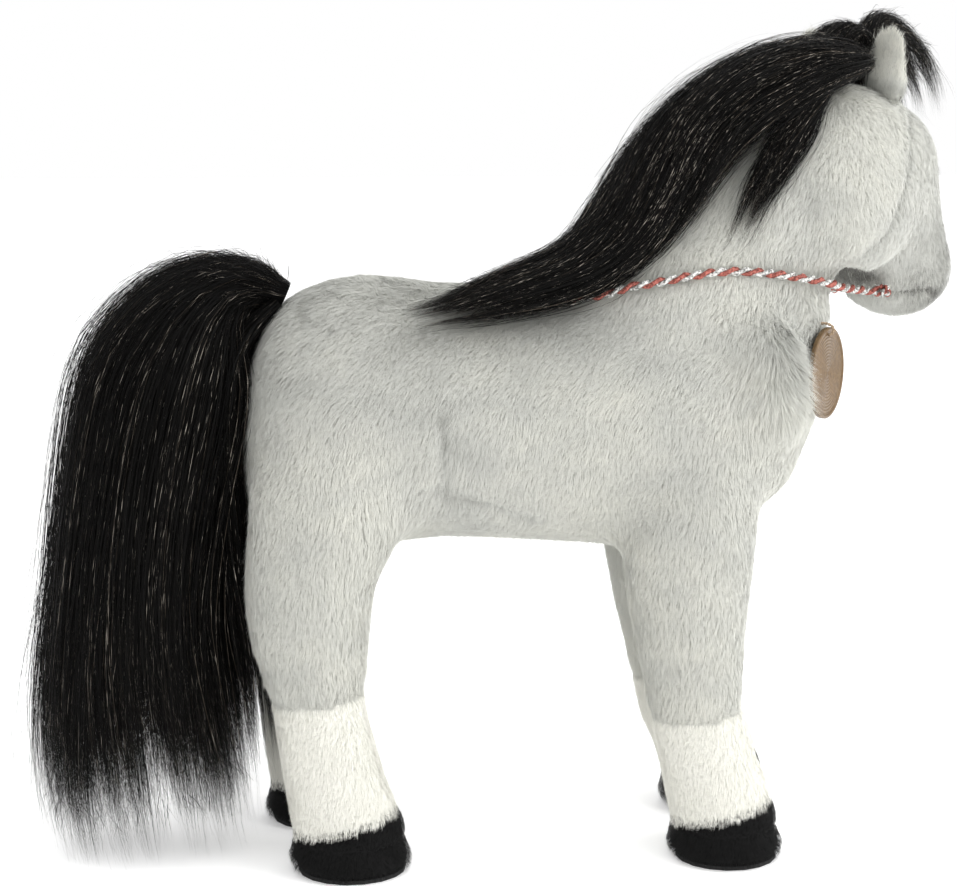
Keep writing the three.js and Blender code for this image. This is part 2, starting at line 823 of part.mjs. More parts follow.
function piece(parent, name, geometry, material) {
  const mesh = new THREE.Mesh(geometry, material);
  mesh.name = name;
  parent.add(mesh);
  return mesh;
}

const seats = [-1, 1].map((side) => ({
  name: side > 0 ? 'left' : 'right',
  eye: eyeSeat(side),
  ear: earSeat(side),
  knot: knotSeat(side),
}));
const reinEnds = seats.map(({ knot }) => knot.position.clone().applyMatrix4(head.matrixWorld));
const knotTools = seats.map(({ knot }) => (
  grown(knotShape, seamGap).applyMatrix4(knot.matrix).applyMatrix4(head.matrixWorld)
));

piece(pieces, 'torso', torsoSkin, plush);
piece(pieces, 'neck', cut(neckSkin, torsoTool, skullTool), plush);
piece(head, 'head', cut(skullSkin, ...seats.flatMap(({ eye }) => eyeSocket(eye))), plush);

seats.forEach(({ name, eye, ear, knot }) => {
  head.add(eye, ear, knot);
  piece(knot, `rein_knot_${name}`, knotShape, reinCord);
  piece(eye, `eye_${name}`, eyeGeometry(), eyePlastic);
  piece(eye, `eye_washer_${name}`, turnedRing(
    shankDiameter / 2 + seamGap / 2, washerDiameter / 2, washerLow, washerHigh,
  ), washerPlastic);
  const poll = grown(skullSkin, earClearance).applyMatrix4(ear.matrix.clone().invert());
  piece(ear, `ear_${name}`, cut(earCover, poll), plush);
  piece(ear, `ear_lining_${name}`, liningSkin, liningCloth);
});

[true, false].forEach((front) => [1, -1].forEach((side) => {
  const name = `${front ? 'front' : 'hind'}_${side > 0 ? 'left' : 'right'}`;
  const parts = leg(front, side);
  piece(pieces, `leg_${name}`, parts.upper, plush);
  piece(pieces, `sock_${name}`, parts.sock, sockPlush);
  piece(pieces, `hoof_${name}`, parts.hoof, hoofPlush);
  piece(pieces, `sole_${name}`, parts.sole, soleCloth);
}));

piece(pieces, 'rein', cut(reinTube(reinEnds, reinDiameter), ...knotTools), reinCord);
const reinTool = reinTube(reinEnds, reinDiameter + 2 * seamGap);
piece(pieces, 'mane', cut(maneSkin, torsoTool, skullTool, grown(neckSkin, seamGap), reinTool), hair);
piece(pieces, 'tail', cut(tailSkin, torsoTool), hair);
piece(head, 'forelock', cut(forelockSkin, grown(skullSkin, seamGap)), hair);
pieces.add(medallionSeat);
piece(medallionSeat, 'medallion', medallionDisc, medallionSkin);
piece(medallionSeat, 'medallion_loop', medallionLoop, thread);

const middle = new THREE.Box3().setFromObject(pieces, true).getCenter(new THREE.Vector3());
pieces.position.set(-middle.x, -middle.y, 0);

export default horse;
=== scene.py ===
# A plush horse with its head turned to its left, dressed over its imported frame: one stuffed cover
# under real pile, long hair on the mane, forelock and tail, and a two-ply cord as the rein.
# Arrays and named sizes are in millimetres, and meshes are made in metres.

import json
import math
from dataclasses import dataclass

import bpy
import numpy as np
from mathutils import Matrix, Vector
from mathutils.bvhtree import BVHTree


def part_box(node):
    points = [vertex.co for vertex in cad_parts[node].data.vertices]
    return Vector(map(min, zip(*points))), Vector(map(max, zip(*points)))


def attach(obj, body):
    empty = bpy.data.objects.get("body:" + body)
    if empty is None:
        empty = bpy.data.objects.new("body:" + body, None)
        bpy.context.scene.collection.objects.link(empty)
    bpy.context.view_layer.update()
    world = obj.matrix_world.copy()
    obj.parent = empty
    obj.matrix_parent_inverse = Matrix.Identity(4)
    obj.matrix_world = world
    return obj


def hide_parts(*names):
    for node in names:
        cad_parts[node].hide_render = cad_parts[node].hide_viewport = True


MM = 0.001
BAKE_MAP = "OFBake"

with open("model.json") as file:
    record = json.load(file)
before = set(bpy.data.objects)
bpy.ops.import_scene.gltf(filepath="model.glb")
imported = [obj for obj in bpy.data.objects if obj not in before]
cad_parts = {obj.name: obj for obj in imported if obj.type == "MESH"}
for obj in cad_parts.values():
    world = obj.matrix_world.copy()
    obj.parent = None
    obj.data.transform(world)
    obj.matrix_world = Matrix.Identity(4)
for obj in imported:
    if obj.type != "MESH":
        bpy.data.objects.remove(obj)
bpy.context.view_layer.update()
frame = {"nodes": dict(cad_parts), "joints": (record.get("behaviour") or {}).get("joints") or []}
nodes = frame["nodes"]
joints = {joint["name"]: joint for joint in frame["joints"]}
scene = bpy.context.scene


# Places read from the frame
def box_of(node):
    low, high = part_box(node)
    return np.array(low) / MM, np.array(high) / MM


def middle_of(node):
    low, high = box_of(node)
    return (low + high) / 2


# The part's source has its origin at the middle of the body's length, on the plane of symmetry
BODY_LENGTH = 237
torso_low, torso_high = box_of("torso")
ORIGIN = np.array([torso_low[0] + BODY_LENGTH / 2, (torso_low[1] + torso_high[1]) / 2, 0])

NECK_ROOT = ORIGIN + [55.7, 0, 208]
NECK_LEAN = math.radians(51.5)
SKULL_REACH = 111
SKULL_SIDE = 8
SKULL_DROP = 17.5
HEAD_TURN = math.radians(46)
HEAD_PITCH = math.radians(40)
HEAD_MIDDLE = NECK_ROOT + [
    SKULL_REACH * math.cos(NECK_LEAN), SKULL_SIDE, SKULL_REACH * math.sin(NECK_LEAN) - SKULL_DROP,
]
# The directions to the horse's nose, its left and its crown
pitch_cos, pitch_sin = math.cos(HEAD_PITCH), math.sin(HEAD_PITCH)
turn_cos, turn_sin = math.cos(HEAD_TURN), math.sin(HEAD_TURN)
HEAD_AXES = np.array([
    [pitch_cos * turn_cos, pitch_cos * turn_sin, -pitch_sin],
    [-turn_sin, turn_cos, 0],
    [pitch_sin * turn_cos, pitch_sin * turn_sin, pitch_cos],
])


def in_head(points):
    return (points - HEAD_MIDDLE) @ HEAD_AXES.T


def from_head(points):
    return np.asarray(points, float) @ HEAD_AXES + HEAD_MIDDLE


def both_sides(points):
    """A line on the head's left followed by the same line on its right."""
    points = np.asarray(points, float)
    return [from_head(points), from_head(points * [1, -1, 1])]


# The medallion's own axes: across, out of the chest, and its place
DISC_UP = np.array([0, 0, 1.0])
DISC_SIDE = np.array(joints["medallion_swing"]["axis"], float)
DISC_OUT = np.cross(DISC_UP, DISC_SIDE)
DISC_THICKNESS = 1.8
RIM_HEIGHT = 0.5
DISC_SEAT = middle_of("medallion") - DISC_OUT * (DISC_THICKNESS + RIM_HEIGHT) / 2
DISC_RADIUS = 18

# Camera at the photograph's angle
VIEW_TARGET = Vector(ORIGIN + [-22.5, 0, 164]) * MM
VIEW_DISTANCE = 872 * MM
VIEW_AZIMUTH = -6
VIEW_ELEVATION = 9.5
LENS = 82


def direction_at(azimuth, elevation):
    turn, rise = math.radians(azimuth), math.radians(elevation)
    return Vector((math.sin(turn) * math.cos(rise), -math.cos(turn) * math.cos(rise), math.sin(rise)))


def add_object(name, data):
    item = bpy.data.objects.new(name, data)
    scene.collection.objects.link(item)
    return item


camera = add_object("camera", bpy.data.cameras.new("camera"))
scene.camera = camera
view_offset = direction_at(VIEW_AZIMUTH, VIEW_ELEVATION)
camera.location = VIEW_TARGET + view_offset * VIEW_DISTANCE
camera.rotation_euler = (-view_offset).to_track_quat("-Z", "Y").to_euler()
camera.data.lens = LENS
camera.data.clip_end = 20


# Small tools for arrays of vectors
def unit(vectors):
    return vectors / np.maximum(np.linalg.norm(vectors, axis=-1, keepdims=True), 1e-9)


def dot(a, b):
    return (a * b).sum(-1, keepdims=True)


def full_turn(count):
    """So many even angles once round a circle."""
    return np.linspace(0, 2 * np.pi, count, endpoint=False)


def waves(points, wavelength, seed, count=7):
    """Smooth noise between about -1 and 1, of about the given wavelength."""
    rng = np.random.default_rng(seed)
    turns = unit(rng.normal(size=(count, 3))) * 2 * np.pi / wavelength
    turns *= rng.uniform(0.6, 1.4, (count, 1))
    phases = rng.uniform(0, 2 * np.pi, count)
    return np.sin(points @ turns.T + phases).mean(-1) * 1.8


def catmull(rows, steps):
    """Rows of numbers with more rows between them, every column on a smooth curve."""
    rows = np.asarray(rows, float)
    longer = np.vstack([2 * rows[0] - rows[1], rows, 2 * rows[-1] - rows[-2]])
    before, here, ahead, after = (longer[i:len(rows) - 1 + i, None] for i in range(4))
    t = (np.arange(steps) / steps)[None, :, None]
    fine = here + t / 2 * (
        ahead - before
        + t * (2 * before - 5 * here + 4 * ahead - after + t * (3 * (here - ahead) + after - before))
    )
    return np.vstack([fine.reshape(-1, rows.shape[1]), rows[-1:]])


def line_distance(points, line):
    """How far each point is from a line through the given points."""
    nearest = np.full(len(points), np.inf)
    line = np.asarray(line, float)
    for start, end in zip(line[:-1], line[1:]):
        along = end - start
        share = np.clip((points - start) @ along / (along @ along), 0, 1)
        gap = np.linalg.norm(points - start - share[:, None] * along, axis=1)
        nearest = np.minimum(nearest, gap)
    return nearest


def lines_distance(points, lines):
    return np.minimum.reduce([line_distance(points, line) for line in lines])


def smooth_step(values, low, high):
    t = np.clip((values - low) / (high - low), 0, 1)
    return t * t * (3 - 2 * t)


def bell(values, width):
    return np.exp(-((values / width) ** 2))


# Meshes from arrays
def mesh_of(name, points, corners, sizes, uv=None, normals=None):
    """A mesh whose faces' corners are listed one after another, with each face's number of corners."""
    mesh = bpy.data.meshes.new(name)
    mesh.vertices.add(len(points))
    mesh.vertices.foreach_set("co", (points * MM).astype(np.float32).ravel())
    mesh.loops.add(len(corners))
    mesh.loops.foreach_set("vertex_index", corners.astype(np.int32))
    mesh.polygons.add(len(sizes))
    starts = np.cumsum(sizes) - sizes
    mesh.polygons.foreach_set("loop_start", starts.astype(np.int32))
    mesh.update(calc_edges=True)
    mesh.shade_smooth()
    if uv is not None:
        layer = mesh.uv_layers.new(name=BAKE_MAP)
        layer.uv.foreach_set("vector", uv[corners].astype(np.float32).ravel())
    if normals is not None:
        mesh.normals_split_custom_set_from_vertices(normals.astype(np.float32))
    return mesh


def place(name, mesh, body, slot, *materials):
    piece = add_object(name, mesh)
    dress(piece, *materials)
    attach(piece, body)
    return piece


def dress(piece, *materials):
    piece.data.materials.clear()
    for material in materials:
        piece.data.materials.append(material)


def grid_faces(rows, columns, closed_rows=False):
    """Corners of the faces of a tube of rings, each of the same number of points."""
    row, column = np.meshgrid(np.arange(rows - (not closed_rows)), np.arange(columns), indexing="ij")
    next_row = (row + 1) % rows
    next_column = (column + 1) % columns
    corners = np.stack([
        row * columns + column,
        row * columns + next_column,
        next_row * columns + next_column,
        next_row * columns + column,
    ], -1)
    return corners.reshape(-1, 4)


def capped_tube(name, rings):
    """A closed tube through rings of points, with a flat face at each end."""
    rows, columns = rings.shape[:2]
    faces = grid_faces(rows, columns)
    around = np.arange(columns)
    corners = np.concatenate([faces.ravel(), around[::-1], around + (rows - 1) * columns])
    sizes = np.concatenate([np.full(len(faces), 4), [columns, columns]])
    return mesh_of(name, rings.reshape(-1, 3), corners, sizes)


def tube_frames(path, closed=False):
    """Unit vectors across a path that turn as little as they can."""
    if closed:
        along = unit(np.roll(path, -1, 0) - np.roll(path, 1, 0))
    else:
        along = unit(np.gradient(path, axis=0))
    across = np.zeros_like(path)
    start = np.cross(along[0], [0.1, 0.2, 1.0])
    across[0] = start / np.linalg.norm(start)
    for i in range(1, len(path)):
        side = across[i - 1] - (across[i - 1] @ along[i]) * along[i]
        across[i] = side / np.linalg.norm(side)
    return across, np.cross(along, across)


def even_path(path, step, closed=False):
    """The same path with points an even step apart, and its length."""
    loop = np.vstack([path, path[:1]]) if closed else path
    lengths = np.concatenate([[0], np.cumsum(np.linalg.norm(np.diff(loop, axis=0), axis=1))])
    places = np.linspace(0, lengths[-1], int(lengths[-1] / step), endpoint=not closed)
    even = np.stack([np.interp(places, lengths, loop[:, i]) for i in range(3)], 1)
    return even, lengths[-1]


# Materials
def new_material(name):
    material = bpy.data.materials.new(name)
    material.use_nodes = True
    tree = material.node_tree
    return material, tree, tree.nodes["Principled BSDF"]


def set_inputs(node, settings):
    for key, value in settings.items():
        node.inputs[key].default_value = value


def add_node(tree, kind, **settings):
    node = tree.nodes.new(kind)
    for key, value in settings.items():
        if key in node.inputs:
            node.inputs[key].default_value = value
        else:
            setattr(node, key, value)
    return node


def colour_ramp(tree, source, stops):
    node = tree.nodes.new("ShaderNodeValToRGB")
    elements = node.color_ramp.elements
    elements[0].position, elements[0].color = stops[0][0], (*stops[0][1], 1)
    elements[1].position, elements[1].color = stops[-1][0], (*stops[-1][1], 1)
    for position, colour in stops[1:-1]:
        elements.new(position).color = (*colour, 1)
    tree.links.new(source, node.inputs["Fac"])
    return node.outputs["Color"]


def mixed(tree, kind, first, second):
    node = tree.nodes.new("ShaderNodeMix")
    node.data_type = "RGBA"
    node.blend_type = kind
    node.inputs["Factor"].default_value = 1
    tree.links.new(first, node.inputs[6])
    tree.links.new(second, node.inputs[7])
    return node.outputs[2]


def bumped(tree, shader, height, strength, distance):
    bump = add_node(tree, "ShaderNodeBump", Strength=strength, Distance=distance)
    tree.links.new(height, bump.inputs["Height"])
    tree.links.new(bump.outputs["Normal"], shader.inputs["Normal"])


def stretched_noise(tree, source, scale, detail, stretch):
    mapping = add_node(tree, "ShaderNodeMapping", Scale=stretch)
    tree.links.new(source, mapping.inputs["Vector"])
    noise = add_node(tree, "ShaderNodeTexNoise", Scale=scale, Detail=detail)
    tree.links.new(mapping.outputs["Vector"], noise.inputs["Vector"])
    return noise.outputs["Fac"]


def object_noise(tree, scale, detail=3.0, stretch=(1, 1, 1)):
    """Noise fixed to the object, of so many waves to a metre."""
    place_node = tree.nodes.new("ShaderNodeTexCoord")
    return stretched_noise(tree, place_node.outputs["Object"], scale, detail, stretch)


# Strands with a tone above this carry glints, highlights painted into the base colour
PAINTED_GLINT_TONE = 0.5


def strand_material(name, tones, root_painted_shade, roughness, sheen=0.0, specular=0.3, painted_glints=None):
    """Fibres whose tone runs across the map and whose root and tip run up it; the ramp up the map darkens the
    fibres towards their roots, which is painted shade.
    """
    material, tree, shader = new_material(name)
    uv = add_node(tree, "ShaderNodeUVMap", uv_map=BAKE_MAP)
    parts = tree.nodes.new("ShaderNodeSeparateXYZ")
    tree.links.new(uv.outputs["UV"], parts.inputs["Vector"])
    tone = colour_ramp(tree, parts.outputs["X"], tones)
    shade = colour_ramp(tree, parts.outputs["Y"], root_painted_shade)
    colour = mixed(tree, "MULTIPLY", tone, shade)
    if painted_glints:
        noise = stretched_noise(tree, uv.outputs["UV"], 1.0, 1.0, (600, 22, 1))
        chosen = colour_ramp(tree, parts.outputs["X"], [(PAINTED_GLINT_TONE - 0.1, grey(0)), (PAINTED_GLINT_TONE, grey(1))])
        glint = mixed(tree, "MULTIPLY", colour_ramp(tree, noise, painted_glints), chosen)
        colour = mixed(tree, "ADD", colour, glint)
    tree.links.new(colour, shader.inputs["Base Color"])
    set_inputs(shader, {
        "Roughness": roughness, "Specular IOR Level": specular, "Sheen Weight": sheen, "Sheen Roughness": 0.5,
    })
    return material


# Half the spread of the noise over which a mottled surface goes from dark to light
MOTTLE = 0.13


def speckled_material(name, dark, light, scale, bump, roughness, specular=0.4, metallic=0.0):
    """A finely mottled surface whose bump follows the same noise."""
    material, tree, shader = new_material(name)
    noise = object_noise(tree, scale, 5.0)
    colour = colour_ramp(tree, noise, [(0.5 - MOTTLE, dark), (0.5 + MOTTLE, light)])
    tree.links.new(colour, shader.inputs["Base Color"])
    set_inputs(shader, {"Roughness": roughness, "Specular IOR Level": specular, "Metallic": metallic})
    bumped(tree, shader, noise, bump, 1 / scale)
    return material


def woven_material(name, dark, light, threads, roughness):
    """Plain weave: two sets of threads that pass over each other."""
    material, tree, shader = new_material(name)
    place_node = tree.nodes.new("ShaderNodeTexCoord")
    weave = tree.nodes.new("ShaderNodeMath")
    weave.operation = "MULTIPLY"
    for direction, socket in zip(("X", "Y"), weave.inputs):
        wave = add_node(tree, "ShaderNodeTexWave", Scale=threads, Distortion=0.6)
        wave.bands_direction = direction
        tree.links.new(place_node.outputs["Object"], wave.inputs["Vector"])
        tree.links.new(wave.outputs["Fac"], socket)
    colour = colour_ramp(tree, weave.outputs["Value"], [(0.0, dark), (1.0, light)])
    tree.links.new(colour, shader.inputs["Base Color"])
    shader.inputs["Roughness"].default_value = roughness
    bumped(tree, shader, weave.outputs["Value"], 0.5, 0.0003)
    return material


def grey(value):
    return (value, value, value)


# The second ramp of each pile darkens its fibres towards their roots: painted shade
coat_pile = strand_material(
    "coat_pile",
    [
        (0, (0.15, 0.148, 0.135)), (0.2, (0.44, 0.443, 0.41)), (0.4, (0.60, 0.605, 0.565)),
        (0.7, (0.71, 0.71, 0.65)), (1, (0.86, 0.845, 0.755)),
    ],
    [(0, grey(0.91)), (0.5, grey(0.97)), (1, grey(1))],
    roughness=0.85,
    sheen=0.2,
)
sock_pile = strand_material(
    "sock_pile",
    [(0, (0.86, 0.855, 0.78)), (1, (0.96, 0.95, 0.885))],
    [(0, grey(0.9)), (0.5, grey(0.98)), (1, grey(1))],
    roughness=0.85,
    sheen=0.2,
)
hoof_pile = strand_material(
    "hoof_pile",
    [(0, grey(0.004)), (0.8, grey(0.008)), (1, grey(0.03))],
    [(0, grey(0.6)), (1, grey(1))],
    roughness=0.7,
    sheen=0.02,
    specular=0.15,
)
lining_pile = strand_material(
    "lining_pile",
    [(0, (0.42, 0.38, 0.33)), (1, (0.66, 0.61, 0.54))],
    [(0, grey(0.75)), (1, grey(1))],
    roughness=0.85,
    sheen=0.2,
)
# Long hair: the top of the tone ramp and the glints are highlights painted into the base colour
long_hair = strand_material(
    "long_hair",
    [(0, grey(0.0025)), (0.85, (0.007, 0.006, 0.005)), (0.95, (0.05, 0.04, 0.03)), (1, (0.16, 0.13, 0.10))],
    [(0, grey(0.8)), (0.6, grey(1)), (1, grey(1))],
    roughness=0.42,
    specular=0.06,
    painted_glints=[(0.55, grey(0)), (0.61, (0.10, 0.09, 0.075)), (0.70, (0.66, 0.60, 0.52))],
)
backing = {"scale": 900, "bump": 0.3, "roughness": 0.95, "specular": 0.1}
coat_backing = speckled_material("coat_backing", (0.52, 0.52, 0.48), (0.60, 0.60, 0.55), **backing)
sock_backing = speckled_material("sock_backing", (0.78, 0.78, 0.72), (0.88, 0.88, 0.82), **backing)
hoof_backing = speckled_material("hoof_backing", grey(0.004), grey(0.010), **backing)
hair_core = speckled_material("hair_core", grey(0.002), grey(0.007), 500, 0.5, 0.8, 0.1)
red_yarn = speckled_material("red_yarn", (0.12, 0.024, 0.018), (0.50, 0.155, 0.12), 1100, 0.8, 0.6, 0.3)
silver_yarn = speckled_material(
    "silver_yarn", (0.14, 0.14, 0.13), (0.86, 0.86, 0.83), 1100, 0.9, 0.35, specular=0.8, metallic=0.3,
)
loop_yarn = speckled_material("loop_yarn", (0.28, 0.20, 0.13), (0.50, 0.38, 0.26), 1500, 0.5, 0.7)
eye_gloss = speckled_material("eye_gloss", (0.010, 0.004, 0.002), (0.035, 0.014, 0.006), 220, 0.02, 0.06, 0.6)
washer_plastic = speckled_material("washer_plastic", (0.72, 0.70, 0.64), (0.84, 0.81, 0.76), 260, 0.1, 0.45)
sole_cloth = woven_material("sole_cloth", grey(0.004), grey(0.022), 420, 0.8)


# Rein: two plies laid round each other along the line between the knots
REIN_DIAMETER = 3.5
REIN_LAY = 10.0
PLY_SHARE = 0.26
PLY_SIDES = 24
YARN_LOBES = 5
LOBE_SHARE = 0.14
KNOT_RIGHT = middle_of("rein_knot_right")
KNOT_LEFT = middle_of("rein_knot_left")
REIN_ROUTE = [
    (137.0, 7.5, 222.8), (120.5, -13.0, 226.2), (117.0, -18.0, 227.6), (111.4, -24.4, 229.3),
    (99.8, -31.0, 231.8), (83.2, -36.4, 234.4), (68.7, -38.8, 235.2), (54.5, -40.9, 233.8),
    (40.6, -41.8, 231.4), (31.0, -40.4, 229.8), (23.2, -37.0, 227.0), (14.0, -33.2, 225.2),
    (5.0, -30.8, 225.0), (-2.5, -26.5, 226.7), (-7.5, -18.6, 229.5), (-10.0, -9.5, 232.0),
    (-10.8, 0.0, 233.2), (-10.0, 9.5, 232.0), (-7.5, 18.6, 229.5), (-2.5, 26.5, 226.7),
    (5.0, 30.8, 225.0), (14.0, 33.2, 225.2), (23.2, 37.0, 227.0), (31.0, 40.4, 229.8),
    (40.6, 41.9, 231.6), (54.5, 41.3, 232.9), (68.8, 39.5, 233.6), (83.3, 37.1, 232.8),
    (98.5, 33.0, 230.2), (114.0, 33.0, 226.5), (130.0, 36.5, 221.5),
]


def ply_rings(path, across, above, along, first, diameter):
    """Rings of points round one ply, which turns about the path from the given angle."""
    ply = PLY_SHARE * diameter
    turn = (along + first)[:, None]
    centre = path + (diameter / 2 - ply) * (across * np.cos(turn) + above * np.sin(turn))
    around = full_turn(PLY_SIDES)
    lobes = 1 + LOBE_SHARE * np.cos(YARN_LOBES * around[None, :] - 4 * along[:, None])
    ring = ply * lobes[..., None] * (
        across[:, None] * np.cos(around)[:, None] + above[:, None] * np.sin(around)[:, None]
    )
    return centre[:, None] + ring


def laid_cord(name, path, diameter, lay, body, slot, yarns, closed=False):
    """A cord of two plies, each a lobed yarn with a material of its own, along a path."""
    path, length = even_path(path, diameter / 6, closed)
    across, above = tube_frames(path, closed)
    turns = max(round(length / lay), 1) if closed else length / lay
    along = -np.linspace(0, 2 * np.pi * turns, len(path), endpoint=not closed)
    plies = [ply_rings(path, across, above, along, first, diameter) for first in (0, np.pi)]
    faces = grid_faces(len(path), PLY_SIDES, closed)
    corners = np.vstack([faces, faces + len(path) * PLY_SIDES])
    points = np.concatenate([ply.reshape(-1, 3) for ply in plies])
    mesh = mesh_of(name, points, corners.ravel(), np.full(len(corners), 4))
    piece = place(name, mesh, body, slot, *yarns)
    mesh.polygons.foreach_set("material_index", (np.arange(len(corners)) >= len(faces)).astype(np.int32))
    return piece, path, length


rein_points = np.vstack([KNOT_RIGHT, np.array(REIN_ROUTE) + ORIGIN, KNOT_LEFT])
rein, rein_path, rein_length = laid_cord(
    "rein_cord", catmull(rein_points, 12), REIN_DIAMETER, REIN_LAY, "horse", "rein_cord",
    (red_yarn, silver_yarn),
)
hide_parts("rein")

# Each knot is an overhand knot, drawn tight
KNOT_REACH = 3.0
KNOT_CORD_SHARE = 0.72
KNOT_STEPS = 160
t = full_turn(KNOT_STEPS)
overhand = np.stack([
    np.sin(t) + 2 * np.sin(2 * t), np.cos(t) - 2 * np.cos(2 * t), -1.6 * np.sin(3 * t),
], 1) / 3
for side, centre in (("right", KNOT_RIGHT), ("left", KNOT_LEFT)):
    knot, _, _ = laid_cord(
        f"rein_knot_cord_{side}", centre + KNOT_REACH * overhand, KNOT_CORD_SHARE * REIN_DIAMETER,
        0.5 * REIN_LAY, "horse", "rein_cord", (red_yarn, silver_yarn), closed=True,
    )
    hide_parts(f"rein_knot_{side}")


# Skins: the stuffed covers under the pile
def read_values(items, attribute, each=1, number_type=np.int32):
    values = np.empty(len(items) * each, number_type)
    items.foreach_get(attribute, values)
    return values


def vertices_of(mesh):
    return read_values(mesh.vertices, "co", 3, np.float32).reshape(-1, 3).astype(float) / MM


def normals_of(mesh):
    return read_values(mesh.vertex_normals, "vector", 3, np.float32).reshape(-1, 3).astype(float)


def move_to(mesh, points):
    mesh.vertices.foreach_set("co", (points * MM).astype(np.float32).ravel())
    mesh.update()


def evaluated_mesh(piece):
    depsgraph = bpy.context.evaluated_depsgraph_get()
    return bpy.data.meshes.new_from_object(piece.evaluated_get(depsgraph))


def bake_modifiers(piece):
    """The piece's mesh as its modifiers leave it, with the modifiers gone."""
    mesh = evaluated_mesh(piece)
    piece.modifiers.clear()
    piece.data = mesh
    return mesh


def joined_copy(name, node_names):
    points, corners, sizes, count = [], [], [], 0
    for node in node_names:
        mesh = nodes[node].data
        points.append(vertices_of(mesh))
        for face in mesh.polygons:
            corners.extend(count + i for i in face.vertices)
            sizes.append(len(face.vertices))
        count += len(mesh.vertices)
    return mesh_of(name, np.vstack(points), np.array(corners), np.array(sizes))


def stuffed_skin(name, node_names, body, slot, voxel, rounds, *materials):
    """One closed cover round some CAD solids, with their edges rounded over as stuffing does."""
    piece = place(name, joined_copy(name, node_names), body, slot, *materials)
    remesh = piece.modifiers.new("remesh", "REMESH")
    remesh.mode = "VOXEL"
    remesh.voxel_size = voxel * MM
    smooth = piece.modifiers.new("smooth", "SMOOTH")
    smooth.factor = 0.5
    smooth.iterations = rounds
    bake_modifiers(piece).shade_smooth()
    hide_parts(*node_names)
    return piece


def swell(piece, pressure, steps, most):
    """Fills the cover like a cushion under pressure, and caps how far a point moves."""
    before = vertices_of(piece.data)
    cloth = piece.modifiers.new("swell", "CLOTH")
    cloth.settings.use_pressure = True
    cloth.settings.uniform_pressure_force = pressure
    cloth.settings.effector_weights.gravity = 0
    cloth.settings.quality = 5
    for step in range(1, steps + 1):
        scene.frame_set(step)
    moved = vertices_of(evaluated_mesh(piece)) - before
    piece.modifiers.clear()
    scene.frame_set(1)
    reach = np.linalg.norm(moved, axis=1, keepdims=True)
    move_to(piece.data, before + moved * np.minimum(1, most / np.maximum(reach, 1e-9)))


def subdivide(piece):
    finer = piece.modifiers.new("finer", "SUBSURF")
    finer.levels = 1
    bake_modifiers(piece).shade_smooth()


def inset(piece, depth):
    points = vertices_of(piece.data)
    move_to(piece.data, points - normals_of(piece.data) * np.reshape(depth, (-1, 1)))


def blended(mesh, values, rounds, share=1.0):
    """A value at each vertex, drawn towards its neighbours' in rounds, most where the share is 1."""
    ends = read_values(mesh.edges, "vertices", 2)
    a, b = ends.reshape(-1, 2).T
    total = len(values)
    neighbours = np.bincount(ends, minlength=total)
    values = np.array(values, float)
    for _ in range(rounds):
        sums = np.bincount(a, values[b], total) + np.bincount(b, values[a], total)
        values += 0.6 * share * (sums / neighbours - values)
    return values


def relax(mesh, share, rounds):
    """Evens the mesh out, most where the share is 1."""
    points = vertices_of(mesh)
    move_to(mesh, np.stack([blended(mesh, points[:, i], rounds, share) for i in range(3)], 1))


def search_tree(mesh):
    return BVHTree.FromPolygons([v.co for v in mesh.vertices], [face.vertices for face in mesh.polygons])


def gaps_to(points, node_names, reach=12):
    """How far each point is from each of some CAD solids, up to a reach."""
    gaps = np.full((len(node_names), len(points)), float(reach))
    for row, node in zip(gaps, node_names):
        tree = search_tree(nodes[node].data)
        low, high = box_of(node)
        near = np.flatnonzero(((points > low - reach) & (points < high + reach)).all(1))
        row[near] = [tree.find_nearest(Vector(points[i]) * MM)[3] / MM for i in near]
    return gaps


FEET = ("front_left", "front_right", "hind_left", "hind_right")
COAT_NODES = ["torso", "neck", "head"] + [f"leg_{foot}" for foot in FEET]
SOCK_NODES = [f"sock_{foot}" for foot in FEET]
HOOF_NODES = [f"hoof_{foot}" for foot in FEET]
COVER_NODES = COAT_NODES + SOCK_NODES + HOOF_NODES
TORSO, NECK, HEAD = range(3)

# Pile lengths, and how deep the cover lies below the pile's tips
BODY_PILE = 5.2
SKULL_PILE = 4.2
MUZZLE_PILE = 4.0
SOCK_PILE = 3.6
HOOF_PILE = 2.8
INSET_SHARE = 0.42
HEAD_INSET_SHARE = 0.12
FLOOR_CLEARANCE = 0.5
# The size of the cells that each skin is made from, and the rounds of smoothing it, of evening it out
# across its joints, and of blending its tones and its comb
COVER_VOXEL = 3.6
EAR_VOXEL = 0.8
LINING_VOXEL = 0.7
COVER_ROUNDS = 3
LINING_ROUNDS = 2
JOINT_ROUNDS = 60
TONE_ROUNDS = 40
COMB_ROUNDS = 60

# Seams of the body as points (X, Z), which show on both flanks: between haunch and barrel, along
# the belly and round the dock
BODY_SEAMS = [
    ORIGIN[[0, 2]] + seam for seam in (
        np.array([(-40.5, 183), (-40.0, 166), (-38.0, 149)]),
        np.array([(-42.0, 153), (-22.0, 147), (-2.0, 138)]),
        np.array([(-91.0, 227), (-92.0, 218)]),
    )
]
# Lines on the head's left, in its own axes: the mouth from its corner, and the crease before the cheek
MOUTH = [
    (55, 10, -27.5), (59, 13.5, -24), (64, 16.5, -19), (70, 18.5, -13.5), (78, 17, -10), (85, 10, -8.5),
    (88.5, 0, -7.5),
]
CHEEK = [
    (2, 18, 24), (-2, 27, 12), (0.5, 30, 2), (4, 30.5, -4.5), (5, 31, -13), (7, 30.5, -23), (9, 28, -33),
    (8, 24, -41),
]
# The hollow under the jaw, carved in and darkened with painted shade
THROAT = [(28, 0, -33), (40, 6, -31)]
NOSTRIL = [(69, 18.5, 4), (66, 19.5, 7)]

